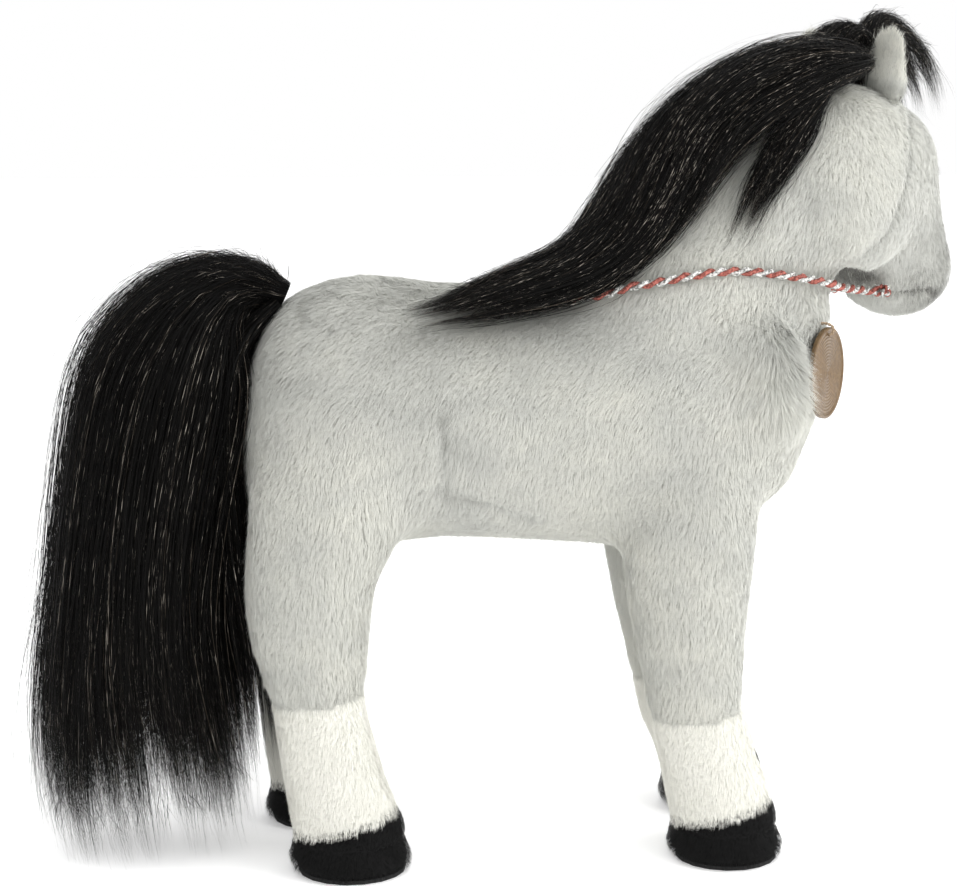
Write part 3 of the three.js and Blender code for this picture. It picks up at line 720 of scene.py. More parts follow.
# Lines of places on the body where the stuffing is fuller than the solids, or flatter where the height
# is negative, each with the half width of its swelling and the height: above the medallion, the crease
# of the chest and below it, before the medallion, low on the chest, along the belly, on the forehead,
# behind the right cheek, behind the left foreleg, on the right hind sock and on the right fore sock
DISC_FILL_SIDE = 23
DISC_FILL_REACH = np.array([0, 0, 15])
disc_fill = DISC_SEAT - ORIGIN + DISC_SIDE * DISC_FILL_SIDE
FILLS = [
    ([(104, -26, 217), (114, -10, 215)], 8, 4.5),
    ([(75, -43, 210), (90, -38, 209), (100, -31, 210)], 9, 2.5),
    ([(84, -38, 212), (85, -42, 201), (86, -44.5, 188)], 10, 2.0),
    ([disc_fill - DISC_FILL_REACH, disc_fill + DISC_FILL_REACH], 11, 3.4),
    ([(95, -28, 153), (95, 28, 153)], 12, 2.0),
    ([(-20, 0, 130), (35, 0, 128)], 30, 2.2),
    ([(150, 7, 297), (155, 7, 290), (159, 5, 283)], 12, 1.6),
    ([(112, -26, 281), (110, -28, 265), (110, -26, 250), (113, -23, 242)], 8, 3.0),
    ([(43, 32, 125), (50, 32, 85), (57, 32, 45)], 14, 3.8),
    ([(-67, -30, 62), (-62, -30, 40)], 14, -3.0),
    ([(80, -30, 60), (84, -30, 45)], 12, -2.2),
]
# A small brown mark on the haunch
MARK_PLACE = ORIGIN + [-80.3, -34.7, 215.6]

# Half widths of the seams, the lines on the head, and the rings round eyes, ears and knots
SEAM_WIDTH = 2.2
MOUTH_WIDTH = 1.7
NOSTRIL_WIDTH = 2.2
CHEEK_WIDTH = 2.8
THROAT_WIDTH = 7
SOCK_SEAM_WIDTH = 2.5
HOOF_SEAM_WIDTH = 2.0
EAR_RING_WIDTH = 4
EYE_RING_WIDTH = 2
EYE_RIM = 1.5
KNOT_RING_WIDTH = 6
# Where each share starts and where it is full: how unlike the gaps to two solids are away from their
# joint, the back of the head, the muzzle, how far the cover faces sideways, and height on the hoof
JOINT_SPAN = (2, 11)
HEAD_BACK_SPAN = (-14, -4)
MUZZLE_SPAN = (26, 60)
SIDEWAYS_SPAN = (0.2, 0.5)
HOOF_FOOT_SPAN = (3, 12)

cover = stuffed_skin(
    "plush_cover", COVER_NODES, "horse", "plush", COVER_VOXEL, COVER_ROUNDS,
    coat_backing, sock_backing, hoof_backing,
)
swell(cover, pressure=3, steps=12, most=1.6)
subdivide(cover)

cover_gaps = gaps_to(vertices_of(cover.data), COVER_NODES)
region = cover_gaps.argmin(0)
coat_gap, sock_gap, hoof_gap = (
    cover_gaps[[COVER_NODES.index(node) for node in group]].min(0)
    for group in (COAT_NODES, SOCK_NODES, HOOF_NODES)
)
kind = np.array([coat_gap, sock_gap, hoof_gap]).argmin(0)
is_head = region == HEAD

# The seams between torso, neck, legs and the back of the head don't show, so the cover runs smoothly
# across them
joint_gaps = np.sort(cover_gaps[:len(COAT_NODES)], axis=0)
joint_share = (1 - smooth_step(joint_gaps[1] - joint_gaps[0], *JOINT_SPAN)) * (kind == 0)
near_head = cover_gaps[HEAD] <= joint_gaps[1]
joint_share *= 1 - smooth_step(in_head(vertices_of(cover.data))[:, 0], *HEAD_BACK_SPAN) * near_head
relax(cover.data, joint_share, JOINT_ROUNDS)
cover_points = vertices_of(cover.data)

eye_gap = gaps_to(cover_points, ["eye_left", "eye_right"]).min(0)
ear_gap = gaps_to(cover_points, ["ear_left", "ear_right"]).min(0)
head_places = in_head(cover_points)
muzzle_share = smooth_step(head_places[:, 0], *MUZZLE_SPAN) * is_head
sideways = np.abs(normals_of(cover.data)[:, 1])
flank_share = smooth_step(sideways, *SIDEWAYS_SPAN) * ((kind == 0) & ~is_head)
body_seam = bell(lines_distance(cover_points[:, [0, 2]], BODY_SEAMS), SEAM_WIDTH) * flank_share


def near_head_line(line, width):
    """How near the cover is to a line on either side of the head, from 0 to 1."""
    return bell(lines_distance(cover_points, both_sides(line)), width)


mouth_line = near_head_line(MOUTH, MOUTH_WIDTH)
nostril_pit = near_head_line(NOSTRIL, NOSTRIL_WIDTH)
cheek_crease = near_head_line(CHEEK, CHEEK_WIDTH) * is_head
throat_hollow = near_head_line(THROAT, THROAT_WIDTH) * is_head
sock_seam = bell(coat_gap - sock_gap, SOCK_SEAM_WIDTH)
hoof_seam = bell(sock_gap - hoof_gap, HOOF_SEAM_WIDTH)
ear_ring = bell(ear_gap, EAR_RING_WIDTH)
eye_ring = bell(eye_gap - EYE_RIM, EYE_RING_WIDTH)
knot_gap = np.minimum(*(np.linalg.norm(cover_points - knot, axis=1) for knot in (KNOT_RIGHT, KNOT_LEFT)))
knot_ring = bell(knot_gap, KNOT_RING_WIDTH)
hoof_foot = (1 - smooth_step(cover_points[:, 2], *HOOF_FOOT_SPAN)) * (kind == 2)

# How deep the seams and creases are drawn in, and how far the hoof's foot stands out
SEAM_DEPTH = 1.2
MOUTH_DEPTH = 1.8
CHEEK_DEPTH = 1.3
THROAT_DEPTH = 2.0
SOCK_DEPTH = 0.5
HOOF_DEPTH = 0.4
KNOT_DEPTH = 1.6
FOOT_FLARE = 2.6
# How much longer the pile is round the ears and eyes and at the foot, and its share less in seams
RING_PILE = 1.6
FOOT_PILE = 0.8
SEAM_SHARE = 0.4


def pile_lengths():
    length = np.where(is_head, SKULL_PILE + (MUZZLE_PILE - SKULL_PILE) * muzzle_share, BODY_PILE)
    length = np.choose(kind, [blended(cover.data, length, TONE_ROUNDS), SOCK_PILE, HOOF_PILE])
    seams = np.clip(mouth_line + nostril_pit + 0.6 * body_seam + knot_ring, 0, 1)
    length = length * (1 - SEAM_SHARE * seams)
    return length + RING_PILE * ear_ring + RING_PILE * eye_ring + FOOT_PILE * hoof_foot


def sew_cover():
    """Draws the cover in under the pile, and deeper along its seams and creases."""
    groove = (
        SEAM_DEPTH * body_seam + MOUTH_DEPTH * mouth_line + MOUTH_DEPTH * nostril_pit
        + CHEEK_DEPTH * cheek_crease + THROAT_DEPTH * throat_hollow
    )
    groove += (
        SOCK_DEPTH * sock_seam + HOOF_DEPTH * hoof_seam - FOOT_FLARE * hoof_foot + KNOT_DEPTH * knot_ring
    )
    for line, width, height in FILLS:
        groove -= height * bell(line_distance(cover_points, ORIGIN + line), width)
    inset_share = blended(cover.data, np.where(is_head, HEAD_INSET_SHARE, INSET_SHARE), TONE_ROUNDS)
    inset(cover, inset_share * pile_length * (1 - ear_ring) + groove)
    points = vertices_of(cover.data)
    points[:, 2] = np.maximum(points[:, 2], FLOOR_CLEARANCE)
    move_to(cover.data, points)
    corners = read_values(cover.data.loops, "vertex_index")
    first_corners = read_values(cover.data.polygons, "loop_start")
    cover.data.polygons.foreach_set("material_index", kind[corners[first_corners]].astype(np.int32))


pile_length = pile_lengths()
sew_cover()


# Pile: every fibre a thin curved ribbon
def scattered(mesh, density, seed, *fields):
    """Random places on a mesh, so many to a square millimetre, with the smooth normal and fields there."""
    mesh.calc_loop_triangles()
    corners = read_values(mesh.loop_triangles, "vertices", 3).reshape(-1, 3)
    points = vertices_of(mesh)
    a, b, c = (points[corners[:, i]] for i in range(3))
    areas = np.linalg.norm(np.cross(b - a, c - a), axis=1) / 2
    rng = np.random.default_rng(seed)
    chosen = rng.choice(len(corners), int(areas.sum() * density), p=areas / areas.sum())
    shares = rng.dirichlet((1, 1, 1), len(chosen))

    def at(values):
        return np.einsum("ij,ij...->i...", shares, np.asarray(values, float)[corners[chosen]])

    return rng, at(points), unit(at(normals_of(mesh))), [at(field) for field in fields]


def clump_of(points, size, seed):
    """The number of the small clump that each fibre belongs to."""
    warped = points + size * 0.8 * np.stack([waves(points, 4 * size, seed + i) for i in range(3)], 1)
    cells = np.floor(warped / size).astype(np.int64)
    keys = cells @ np.array([73856093, 19349663, 83492791])
    return np.unique(keys, return_inverse=True)[1]


def clump_mean(values, clump):
    counts = np.bincount(clump)
    means = np.stack([np.bincount(clump, values[:, i]) / counts for i in range(values.shape[1])], 1)
    return means[clump]


def ribbon_mesh(name, lines, sides, half_widths, tones, normals=None):
    """Flat ribbons along lines of points, each ending in a point, with tone and length on its map."""
    count, steps = lines.shape[:2]
    pairs = steps - 1
    reach = sides[:, :pairs] * half_widths[:, :pairs, None]
    body = np.stack([lines[:, :pairs] - reach, lines[:, :pairs] + reach], 2).reshape(count, -1, 3)
    points = np.concatenate([body, lines[:, -1:]], 1)
    each = points.shape[1]
    row = 2 * np.arange(pairs - 1)
    quads = np.stack([row, row + 1, row + 3, row + 2], 1).ravel()
    one = np.concatenate([quads, [each - 3, each - 2, each - 1]])
    corners = (each * np.arange(count)[:, None] + one).ravel()
    sizes = np.tile(np.array([4] * (pairs - 1) + [3]), count)
    along = np.concatenate([np.repeat(np.arange(pairs) / pairs, 2), [1.0]])
    aside = np.concatenate([np.tile([-0.001, 0.001], pairs), [0.0]])
    uv = np.empty((count, each, 2))
    uv[..., 0] = np.clip(tones, 0.002, 0.998)[:, None] + aside
    uv[..., 1] = np.clip(along, 0.001, 0.999)
    if normals is not None:
        normals = np.repeat(normals, each, 0)
    return mesh_of(name, points.reshape(-1, 3), corners, sizes, uv.reshape(-1, 2), normals)


@dataclass
class PileStyle:
    """How a pile stands: its half width, the size and pull of its clumps, its lift off the cover in
    radians, its unevenness, the share of stray fibres and how much more these rise, and how far a
    fibre may be twisted."""
    half_width: float
    clump_size: float = 1.2
    pull: float = 0.11
    lift: float = 0.38
    turn: float = 0.09
    swirl: float = 0.20
    tone_spread: float = 0.05
    strays: float = 0.012
    lift_spread: float = 0.08
    stray_lift: float = 0.35
    twist: float = 0.6


# How deep a fibre's root lies in the cover, the least and most that it rises in radians, how its length
# varies, and how low it may reach
ROOT_DEPTH = 0.4
RISE_LIMITS = (0.12, 1.3)
FIBRE_LENGTHS = (0.78, 1.12)
PILE_FLOOR = 0.1
# Where a fibre bends: how far along its lean, and how high for a fibre that lies and for one that stands
BEND_ALONG = 0.36
BEND_HEIGHT = 0.8
BEND_LYING = 0.30
BEND_STANDING = 0.42


def combed(root, normal, comb, clump, style, rng):
    """Each fibre's direction along the cover."""
    turn = rng.normal(0, style.turn, clump.max() + 1)[clump] + rng.normal(0, style.turn, len(root))
    turn += style.swirl * waves(root, 18, 11) + 0.5 * style.swirl * waves(root, 7, 12)
    tangent = unit(comb - dot(comb, normal) * normal)
    across = np.cross(normal, tangent)
    return tangent * np.cos(turn)[:, None] + across * np.sin(turn)[:, None]


def pile(name, root, normal, comb, length, tone, rng, body, slot, material, style, lift=0.0):
    """Fibres that leave the cover steeply and lie over along the comb, gathered into small clumps."""
    count = len(root)
    clump = clump_of(root, style.clump_size, 5)
    tangent = combed(root, normal, comb, clump, style, rng)
    stray = rng.random(count) < style.strays
    rise = style.lift + lift + rng.normal(0, style.lift_spread, count) + style.stray_lift * stray
    rise = np.clip(rise, *RISE_LIMITS)
    clump_size = rng.normal(1, 0.06, clump.max() + 1)[clump]
    length = (length * clump_size * rng.uniform(*FIBRE_LENGTHS, count))[:, None]
    sideways, upwards = np.cos(rise)[:, None], np.sin(rise)[:, None]
    lean = length * sideways * tangent
    tip = root + lean
    tip += style.pull * (clump_mean(tip, clump) - tip) + length * upwards * normal
    bend = BEND_HEIGHT * length * (BEND_LYING * sideways + BEND_STANDING * upwards)
    middle = root + BEND_ALONG * lean + bend * normal
    lines = np.stack([root - ROOT_DEPTH * normal, middle, tip], 1)
    lines[..., 2] = np.maximum(lines[..., 2], PILE_FLOOR)
    along = unit(lines[:, [1, 2, 2]] - lines[:, [0, 0, 1]])
    face = normal[:, None]
    side = unit(np.cross(along, face))
    twist = rng.uniform(-style.twist, style.twist, count)[:, None, None]
    side = unit(side * np.cos(twist) - face * np.sin(twist))
    widths = style.half_width * np.array([1.0, 0.8, 0]) * rng.uniform(0.8, 1.2, (count, 1))
    tones = tone + rng.normal(0, style.tone_spread, count)
    tones += rng.normal(0, 0.6 * style.tone_spread, clump.max() + 1)[clump]
    soft = unit(normal + 0.16 * np.cross(side[:, 1], along[:, 1]))
    mesh = ribbon_mesh(name, lines, side, widths, np.clip(tones, 0, 1), soft)
    return place(name, mesh, body, slot, material)


# The coat is combed down and back on the body, straight down the legs and down over the face
COMB_BACK = np.array([-0.7, 0, -0.9])
COMB_LEG = np.array([-0.12, 0, -1.0])
COMB_NECK = np.array([-0.40, 0, -1.0])
COMB_HEAD = np.array([0.15, 0.10, -1.0])
COMB_UP = np.array([0, 0, 1.0])
FLANK_LOW = 150
FLANK_HIGH = 215
HOOF_UP_HEIGHT = 13
EYE_CLEARANCE = 0.4

# The patch of longer pile beside the medallion: how much longer, how far it is combed over the disc,
# and where it starts and ends behind the disc's middle and above and below it
CHEST_PILE = 7.0
CHEST_COMB = 0.6
CHEST_START = (17, 19)
CHEST_END = (21, 44)
CHEST_HEIGHT = (8, 32)


def chest_share(points):
    behind = (points - DISC_SEAT) @ DISC_SIDE
    height = np.abs(points[:, 2] - DISC_SEAT[2])
    started = smooth_step(behind, *CHEST_START)
    return started * (1 - smooth_step(behind, *CHEST_END)) * (1 - smooth_step(height, *CHEST_HEIGHT))


def comb_field(points):
    high = smooth_step(points[:, 2], FLANK_LOW, FLANK_HIGH)[:, None]
    comb = np.where((region == TORSO)[:, None], COMB_LEG + (COMB_BACK - COMB_LEG) * high, COMB_LEG)
    comb = np.where((region == NECK)[:, None], COMB_NECK, comb)
    comb = np.where(is_head[:, None], COMB_HEAD, comb)
    comb = np.stack([blended(cover.data, comb[:, i], COMB_ROUNDS) for i in range(3)], 1)
    comb = comb - CHEST_COMB * DISC_SIDE * chest_share(points)[:, None]
    comb = comb + (COMB_UP - comb) * ear_ring[:, None]
    edge = ((kind == 2) & (points[:, 2] > HOOF_UP_HEIGHT))[:, None]
    return np.where(edge, COMB_UP, comb)


# The creamier panels: the haunch's front edge and top, the heights between which the shoulder's rear
# edge slants, where that edge is at each, the shoulder's top, and how softly each edge fades
HAUNCH_EDGE = -40
HAUNCH_TOP = 181
SHOULDER_HEIGHTS = (161, 192)
SHOULDER_EDGE = (-22, -2)
SHOULDER_TOP = 202
PANEL_FADE = 8
HAUNCH_TOP_FADE = 7
SHOULDER_TOP_FADE = 12


def inside(gap, fade):
    """The share at so far inside an edge that fades to both sides."""
    return smooth_step(gap, -fade, fade)


def panel_share(points):
    """Where the creamier panels of the haunch and the shoulder are, on the body."""
    x, z = points[:, 0] - ORIGIN[0], points[:, 2]
    haunch = inside(HAUNCH_EDGE - x, PANEL_FADE) * inside(HAUNCH_TOP - z, HAUNCH_TOP_FADE)
    shoulder = inside(x - np.interp(z, SHOULDER_HEIGHTS, SHOULDER_EDGE), PANEL_FADE)
    shoulder = shoulder * inside(SHOULDER_TOP - z, SHOULDER_TOP_FADE)
    return np.clip(haunch + shoulder, 0, 1) * (kind == 0)


# What is added to the tone of the pile in each region, and along its lines: painted light on the cheek and
# neck, and painted shade on the muzzle, the top of the back, the mouth, nostrils, seams, cheek crease and
# throat
CHEEK_PAINTED_LIGHT = 0.14
MUZZLE_PAINTED_SHADE = -0.19
NECK_PAINTED_LIGHT = 0.13
BACK_PAINTED_SHADE = -0.05
PLAIN_TONE = 0.44
PANEL_TONE = 0.15
MOUTH_PAINTED_SHADE = -0.28
SEAM_PAINTED_SHADE = -0.16
THROAT_PAINTED_SHADE = -0.46
EAR_FOOT_TONE = -0.35
MARK_TONE = -0.4
# The coat's mottling as rows of strength, wavelength and seed, and where the cheek's painted light and the
# back's painted shade begin
COAT_MOTTLE = [(0.09, 60, 3), (0.07, 19, 4), (0.03, 7, 6)]
MUZZLE_MOTTLE = 0.06
CHEEK_SPAN = (2, 9)
BACK_SPAN = (175, 225)
EAR_FOOT_WIDTH = 2.5
MARK_WIDTH = 1.6
# How much more the pile rises at the ears' feet and the hooves' feet, round the eyes, on the chest's
# patch and on the muzzle
FOOT_LIFT = 0.45
EYE_LIFT = 0.25
CHEST_LIFT = 0.6
MUZZLE_LIFT = 0.12


def tone_field(points):
    cheek = is_head * (1 - smooth_step(head_places[:, 0], *CHEEK_SPAN))
    # Painted light on the cheek and the neck, and painted shade on the muzzle
    tone = CHEEK_PAINTED_LIGHT * cheek + MUZZLE_PAINTED_SHADE * muzzle_share + NECK_PAINTED_LIGHT * (region == NECK)
    # Painted shade darkens the top of the back
    tone += BACK_PAINTED_SHADE * smooth_step(points[:, 2], *BACK_SPAN) * (region == TORSO)
    tone = blended(cover.data, tone, TONE_ROUNDS)
    plain = PLAIN_TONE
    for strength, wavelength, seed in COAT_MOTTLE:
        plain = plain + strength * waves(points, wavelength, seed)
    tone += plain
    tone += PANEL_TONE * panel_share(points) * (region != HEAD)
    # Painted shade in the mouth's groove, the nostrils, the body's seams and the cheek's crease
    tone += (
        MOUTH_PAINTED_SHADE * np.clip(mouth_line + nostril_pit, 0, 1)
        + SEAM_PAINTED_SHADE * body_seam + SEAM_PAINTED_SHADE * cheek_crease
    )
    # Painted shade in the hollow under the jaw, and a darker tone round the ears' feet
    tone += THROAT_PAINTED_SHADE * throat_hollow + EAR_FOOT_TONE * bell(ear_gap, EAR_FOOT_WIDTH)
    tone += MUZZLE_MOTTLE * muzzle_share * waves(points, 4, 9)
    tone += MARK_TONE * bell(np.linalg.norm(points - MARK_PLACE, axis=1), MARK_WIDTH)
    return np.where(kind == 0, tone, 0.5 + 0.2 * waves(points, 12, 8))


def lift_field(points):
    return (
        FOOT_LIFT * (ear_ring + hoof_foot) + EYE_LIFT * eye_ring
        + CHEST_LIFT * chest_share(points) + MUZZLE_LIFT * muzzle_share
    )


PILE_DENSITY = 6.5
SOLE_FACING = -0.6
PILE_SORTS = [
    ("plush", coat_pile, PileStyle(0.064)),
    ("sock_plush", sock_pile, PileStyle(0.068, lift=0.46)),
    ("hoof_plush", hoof_pile, PileStyle(0.068, lift=0.5, strays=0.004)),
]

rng, root, normal, fields = scattered(
    cover.data, PILE_DENSITY, 1, comb_field(cover_points),
    pile_length + CHEST_PILE * chest_share(cover_points), tone_field(cover_points),
    np.eye(len(COVER_NODES))[region], eye_gap, lift_field(cover_points),
)
comb_at, length_at, tone_at, region_at, eye_at, lift_at = fields
region_at = region_at.argmax(1)
kept = (eye_at > EYE_CLEARANCE) & ~((normal[:, 2] < SOLE_FACING) & (root[:, 2] < 5))
for index, node in enumerate(COVER_NODES):
    mine = kept & (region_at == index)
    sort = PILE_SORTS[(node in SOCK_NODES) + 2 * (node in HOOF_NODES)]
    pile(
        f"pile_{node}", root[mine], normal[mine], comb_at[mine], length_at[mine], tone_at[mine], rng,
        "horse", *sort, lift_at[mine],
    )

for foot in FEET:
    dress(nodes[f"sole_{foot}"], sole_cloth)


# Ears: short pile on the outside and a velvet lining in the front
EAR_SPLAY = math.radians(10)
EAR_UP = np.array([0.1, -0.097, 0.99])
EAR_PILE = 2.6
EAR_BASE_FLARE = 2.6
EAR_INSET = 0.7
LINING_PILE = 1.4
LINING_INSET = 0.3
EAR_DENSITY = 12.0
# The pile leaves out what faces the ear's front more than this, but not at the ear's foot, and the
# velvet covers what faces it more than the lining's value. The cover flares below the last height.
EAR_FRONT_FACING = 0.75
LINING_FACING = 0.1
EAR_FOOT = 4
EAR_FLARE_HEIGHT = 13
# How far the ear's pile is ruffled, its tone at the foot, what is added to it above the last height, and
# its mottling
EAR_RUFFLE = 0.2
EAR_ROOT_TONE = 0.25
EAR_TIP_TONE = 0.5
EAR_TONE_HEIGHT = 6
EAR_MOTTLE = 0.05


def ear_front(side):
    turn = HEAD_TURN + (EAR_SPLAY if side == "left" else -EAR_SPLAY)
    return np.array([math.cos(turn), math.sin(turn), 0])


def dress_ear(side, seed):
    body = f"ear_{side}_body"
    base = np.array(joints[f"ear_{side}_fold"]["pos_m"]) / MM
    skin = stuffed_skin(
        f"ear_cover_{side}", [f"ear_{side}"], body, "plush", EAR_VOXEL, COVER_ROUNDS, coat_backing,
    )
    rise = (vertices_of(skin.data) - base) @ EAR_UP
    inset(skin, EAR_INSET - EAR_BASE_FLARE * (1 - smooth_step(rise, 0, EAR_FLARE_HEIGHT)))
    rng, root, normal, _ = scattered(skin.data, EAR_DENSITY, seed)
    height = (root - base) @ EAR_UP
    kept = (normal @ ear_front(side) < EAR_FRONT_FACING) | (height < EAR_FOOT)
    comb = EAR_UP + EAR_RUFFLE * rng.normal(size=(len(root), 3))
    tone = EAR_ROOT_TONE + EAR_TIP_TONE * smooth_step(height, 0, EAR_TONE_HEIGHT)
    tone = tone + EAR_MOTTLE * waves(root, 6, seed)
    length = EAR_PILE * (1 + 1.2 * rng.random(len(root)) ** 12)
    pile(
        f"pile_ear_{side}", root[kept], normal[kept], comb[kept], length[kept], tone[kept], rng,
        body, "plush", coat_pile, PileStyle(0.055, clump_size=1.0, pull=0.15, lift=0.36, strays=0.02),
    )


def dress_ear_lining(side, seed):
    body = f"ear_{side}_body"
    skin = stuffed_skin(
        f"ear_velvet_{side}", [f"ear_lining_{side}"], body, "lining", LINING_VOXEL, LINING_ROUNDS,
        coat_backing,
    )
    inset(skin, LINING_INSET)
    rng, root, normal, _ = scattered(skin.data, EAR_DENSITY, seed)
    kept = normal @ ear_front(side) > LINING_FACING
    root, normal = root[kept], normal[kept]
    comb = np.tile(EAR_UP, (len(root), 1))
    pile(
        f"pile_lining_{side}", root, normal, comb, np.full(len(root), LINING_PILE), np.full(len(root), 0.5),
        rng, body, "lining", lining_pile, PileStyle(0.05, clump_size=1.0, lift=0.5),
    )


for number, side in enumerate(("right", "left")):
    dress_ear(side, 70 + number)
    dress_ear_lining(side, 80 + number)
    dress(nodes[f"eye_{side}"], eye_gloss)
    dress(nodes[f"eye_washer_{side}"], washer_plastic)


# Long hair: strands that follow the sweeps of the mane, tail and forelock
class Sweep:
    """A line with an ellipse round it, read at any share of its length and a little past its end.
    Each row is a place and a half width across and a half height in the plane of the sweep."""

    def __init__(self, rows, past_end, smoothing=40):
        fine = catmull(rows, 10)
        for _ in range(smoothing):
            fine[1:-1] = (fine[:-2] + 2 * fine[1:-1] + fine[2:]) / 4
        centre = fine[:, :3]
        along = unit(np.gradient(centre, axis=0))
        across = np.cross([0, 0, 1.0], along)
        across[np.linalg.norm(across, axis=1) < 0.2] = [0, 1, 0]
        across = unit(across)
        across[across[:, 1] < 0] *= -1
        lift = unit(np.cross(along, across))
        steps = np.linalg.norm(np.diff(centre, axis=0), axis=1)
        self.length = steps.sum()
        self.places = np.append(np.concatenate([[0], np.cumsum(steps)]) / self.length, 1 + past_end)
        table = np.hstack([centre, across, lift, fine[:, 3:5]])
        last = table[-1].copy()
        last[:3] = centre[-1] + along[-1] * past_end * self.length
        self.table = np.vstack([table, last])

    def at(self, share, wide, high):
        """The point so far out across and along the lift, and the outward direction there."""
        columns = np.stack([np.interp(share, self.places, column) for column in self.table.T], -1)
        centre, across, lift = columns[..., :3], columns[..., 3:6], columns[..., 6:9]
        half_wide, half_high = columns[..., 9], columns[..., 10]
        out = centre + across * (wide * half_wide)[..., None] + lift * (high * half_high)[..., None]
        outward = across * (wide / np.maximum(half_wide, 1))[..., None]
        outward += lift * (high / np.maximum(half_high, 1))[..., None]
        return out, unit(outward)


@dataclass
class HairStyle:
    """How hair falls along a sweep. Angles and drift go round the sweep in radians; starts, lengths and
    the core's end are shares of its length; reaches, flare, spread and the core's share are shares of
    its half sizes; strays and shine (the strands with painted glints) are shares of the strands; the rest are
    millimetres."""
    strands: int
    steps: int
    locks: int
    starts: tuple
    lengths: tuple
    angles: tuple = (0, 2 * math.pi)
    drift: float = 0.0
    root_reach: float = 0.78
    reach: tuple = (0.72, 0.92)
    flare: float = 0.10
    spread: float = 0.12
    waver: float = 0.9
    strays: float = 0.10
    shine: float = 0.16
    half_width: float = 0.075
    floor: float = 1.5
    core_share: float = 0.80
    core_end: float = 0.86


# How locks turn and wave round their sweep in radians, how their strands' starts and ends vary, how far
# stray strands stand off, how much a lock draws together towards its tip, and the last share of the
# sweep at which a strand may start and a lock may end
LOCK_TURN = 0.22
LOCK_WAVE = 0.05
START_SPREAD = 0.03
END_SPREAD = 0.04
EARLY_END = 0.20
SHORTEST = 0.08
STRAY_REACH = 0.28
TIP_GATHER = 0.82
LATEST_START = 0.97
LATEST_END = 1.02


def lock_lines(sweep, style, rng):
    """The strands' lines, gathered into locks, and the outward directions along them."""
    locks, count = style.locks, style.strands
    lock_angle = rng.uniform(*style.angles, locks)
    lock_reach = rng.uniform(*style.reach, locks)
    lock_start = rng.uniform(*style.starts, locks)
    lock_end = np.clip(lock_start + rng.uniform(*style.lengths, locks), 0, LATEST_END)
    lock_wave = rng.uniform(0, 2 * np.pi, (locks, 1))
    lock_drift = style.drift + rng.normal(0, LOCK_TURN, locks)
    lock = rng.integers(0, locks, count)
    t = np.linspace(0, 1, style.steps)[None]
    start = np.clip(lock_start[lock] + rng.normal(0, START_SPREAD, count), 0, LATEST_START)
    end = lock_end[lock] + rng.normal(0, END_SPREAD, count) - EARLY_END * rng.random(count) ** 3
    end = np.maximum(end, start + SHORTEST)
    share = start[:, None] + (end - start)[:, None] * t
    stray = (rng.random(count) < style.strays) * rng.uniform(0.3, 1.0, count)
    angle = lock_angle[lock][:, None] + lock_drift[lock][:, None] * t
    angle = angle + LOCK_WAVE * np.sin(5 * t + lock_wave[lock])
    reach = lock_reach[lock][:, None] * (style.root_reach + (1 - style.root_reach) * smooth_step(t, 0, 0.25))
    reach = reach + style.flare * t ** 2.5 * rng.uniform(-0.3, 1.0, (count, 1))
    reach = reach + STRAY_REACH * stray[:, None] * t ** 1.5
    spread = style.spread * (1 - TIP_GATHER * t ** 2)
    wide = reach * np.cos(angle) + spread * rng.normal(0, 1, (count, 1))
    high = reach * np.sin(angle) + spread * rng.normal(0, 1, (count, 1))
    points, outward = sweep.at(share, wide, high)
    phase = rng.uniform(0, 2 * np.pi, (count, 3, 1))
    pace = rng.uniform(3.0, 9.0, (count, 3, 1))
    size = style.waver * (0.6 + 2.4 * stray)[:, None, None] * t[:, None] ** 0.8
    points = points + np.moveaxis(size * np.sin(pace * t[:, None] + phase), 1, 2)
    points[..., 2] = np.maximum(points[..., 2], style.floor + 2.0 * rng.random((count, 1)))
    return points, outward


# Loose hairs: the points of each, how far out they start as a share of the sweep's half sizes, their rise
# in radians, how much they sway, bend over and curl, and the least and most share of the full length
FRIZZ_STEPS = 6
FRIZZ_REACH = 0.88
FRIZZ_RISE = (0.15, 0.85)
FRIZZ_SWAY = 0.35
FRIZZ_BEND = 0.4
FRIZZ_CURL = 0.3
FRIZZ_LENGTHS = (0.35, 1.0)


def frizz_lines(sweep, style, count, length, span, rng):
    """Short loose hairs that stand off the sweep's surface and bend over."""
    share = rng.uniform(*span, (count, 1)) + np.zeros((1, FRIZZ_STEPS))
    angle = rng.uniform(*style.angles, (count, 1)) + np.zeros((1, FRIZZ_STEPS))
    wide, high = FRIZZ_REACH * np.cos(angle), FRIZZ_REACH * np.sin(angle)
    root, outward = sweep.at(share, wide, high)
    ahead, _ = sweep.at(share + 0.02, wide, high)
    along = unit(ahead - root)
    rise = rng.uniform(*FRIZZ_RISE, (count, 1, 1))
    sway = FRIZZ_SWAY * rng.normal(size=(count, 1, 3))
    direction = unit(along * np.cos(rise) + outward * np.sin(rise) + sway)
    t = np.linspace(0, 1, FRIZZ_STEPS)[None, :, None]
    size = length * rng.uniform(*FRIZZ_LENGTHS, (count, 1, 1))
    bend = (along - direction) * FRIZZ_BEND * t ** 2
    points = root + size * (direction * t + bend + sway * FRIZZ_CURL * t ** 3)
    points[..., 2] = np.maximum(points[..., 2], style.floor)
    return points, outward


# How far a strand is twisted and twists further, the share of its length over which it tapers, and the
# tones of a dull strand and of one with painted glints
STRAND_TWIST = 0.9
FURTHER_TWIST = 1.0
TAPER = 0.35
DULL_TONES = (0, 0.4)
SHINING_TONES = (PAINTED_GLINT_TONE, 0.97)


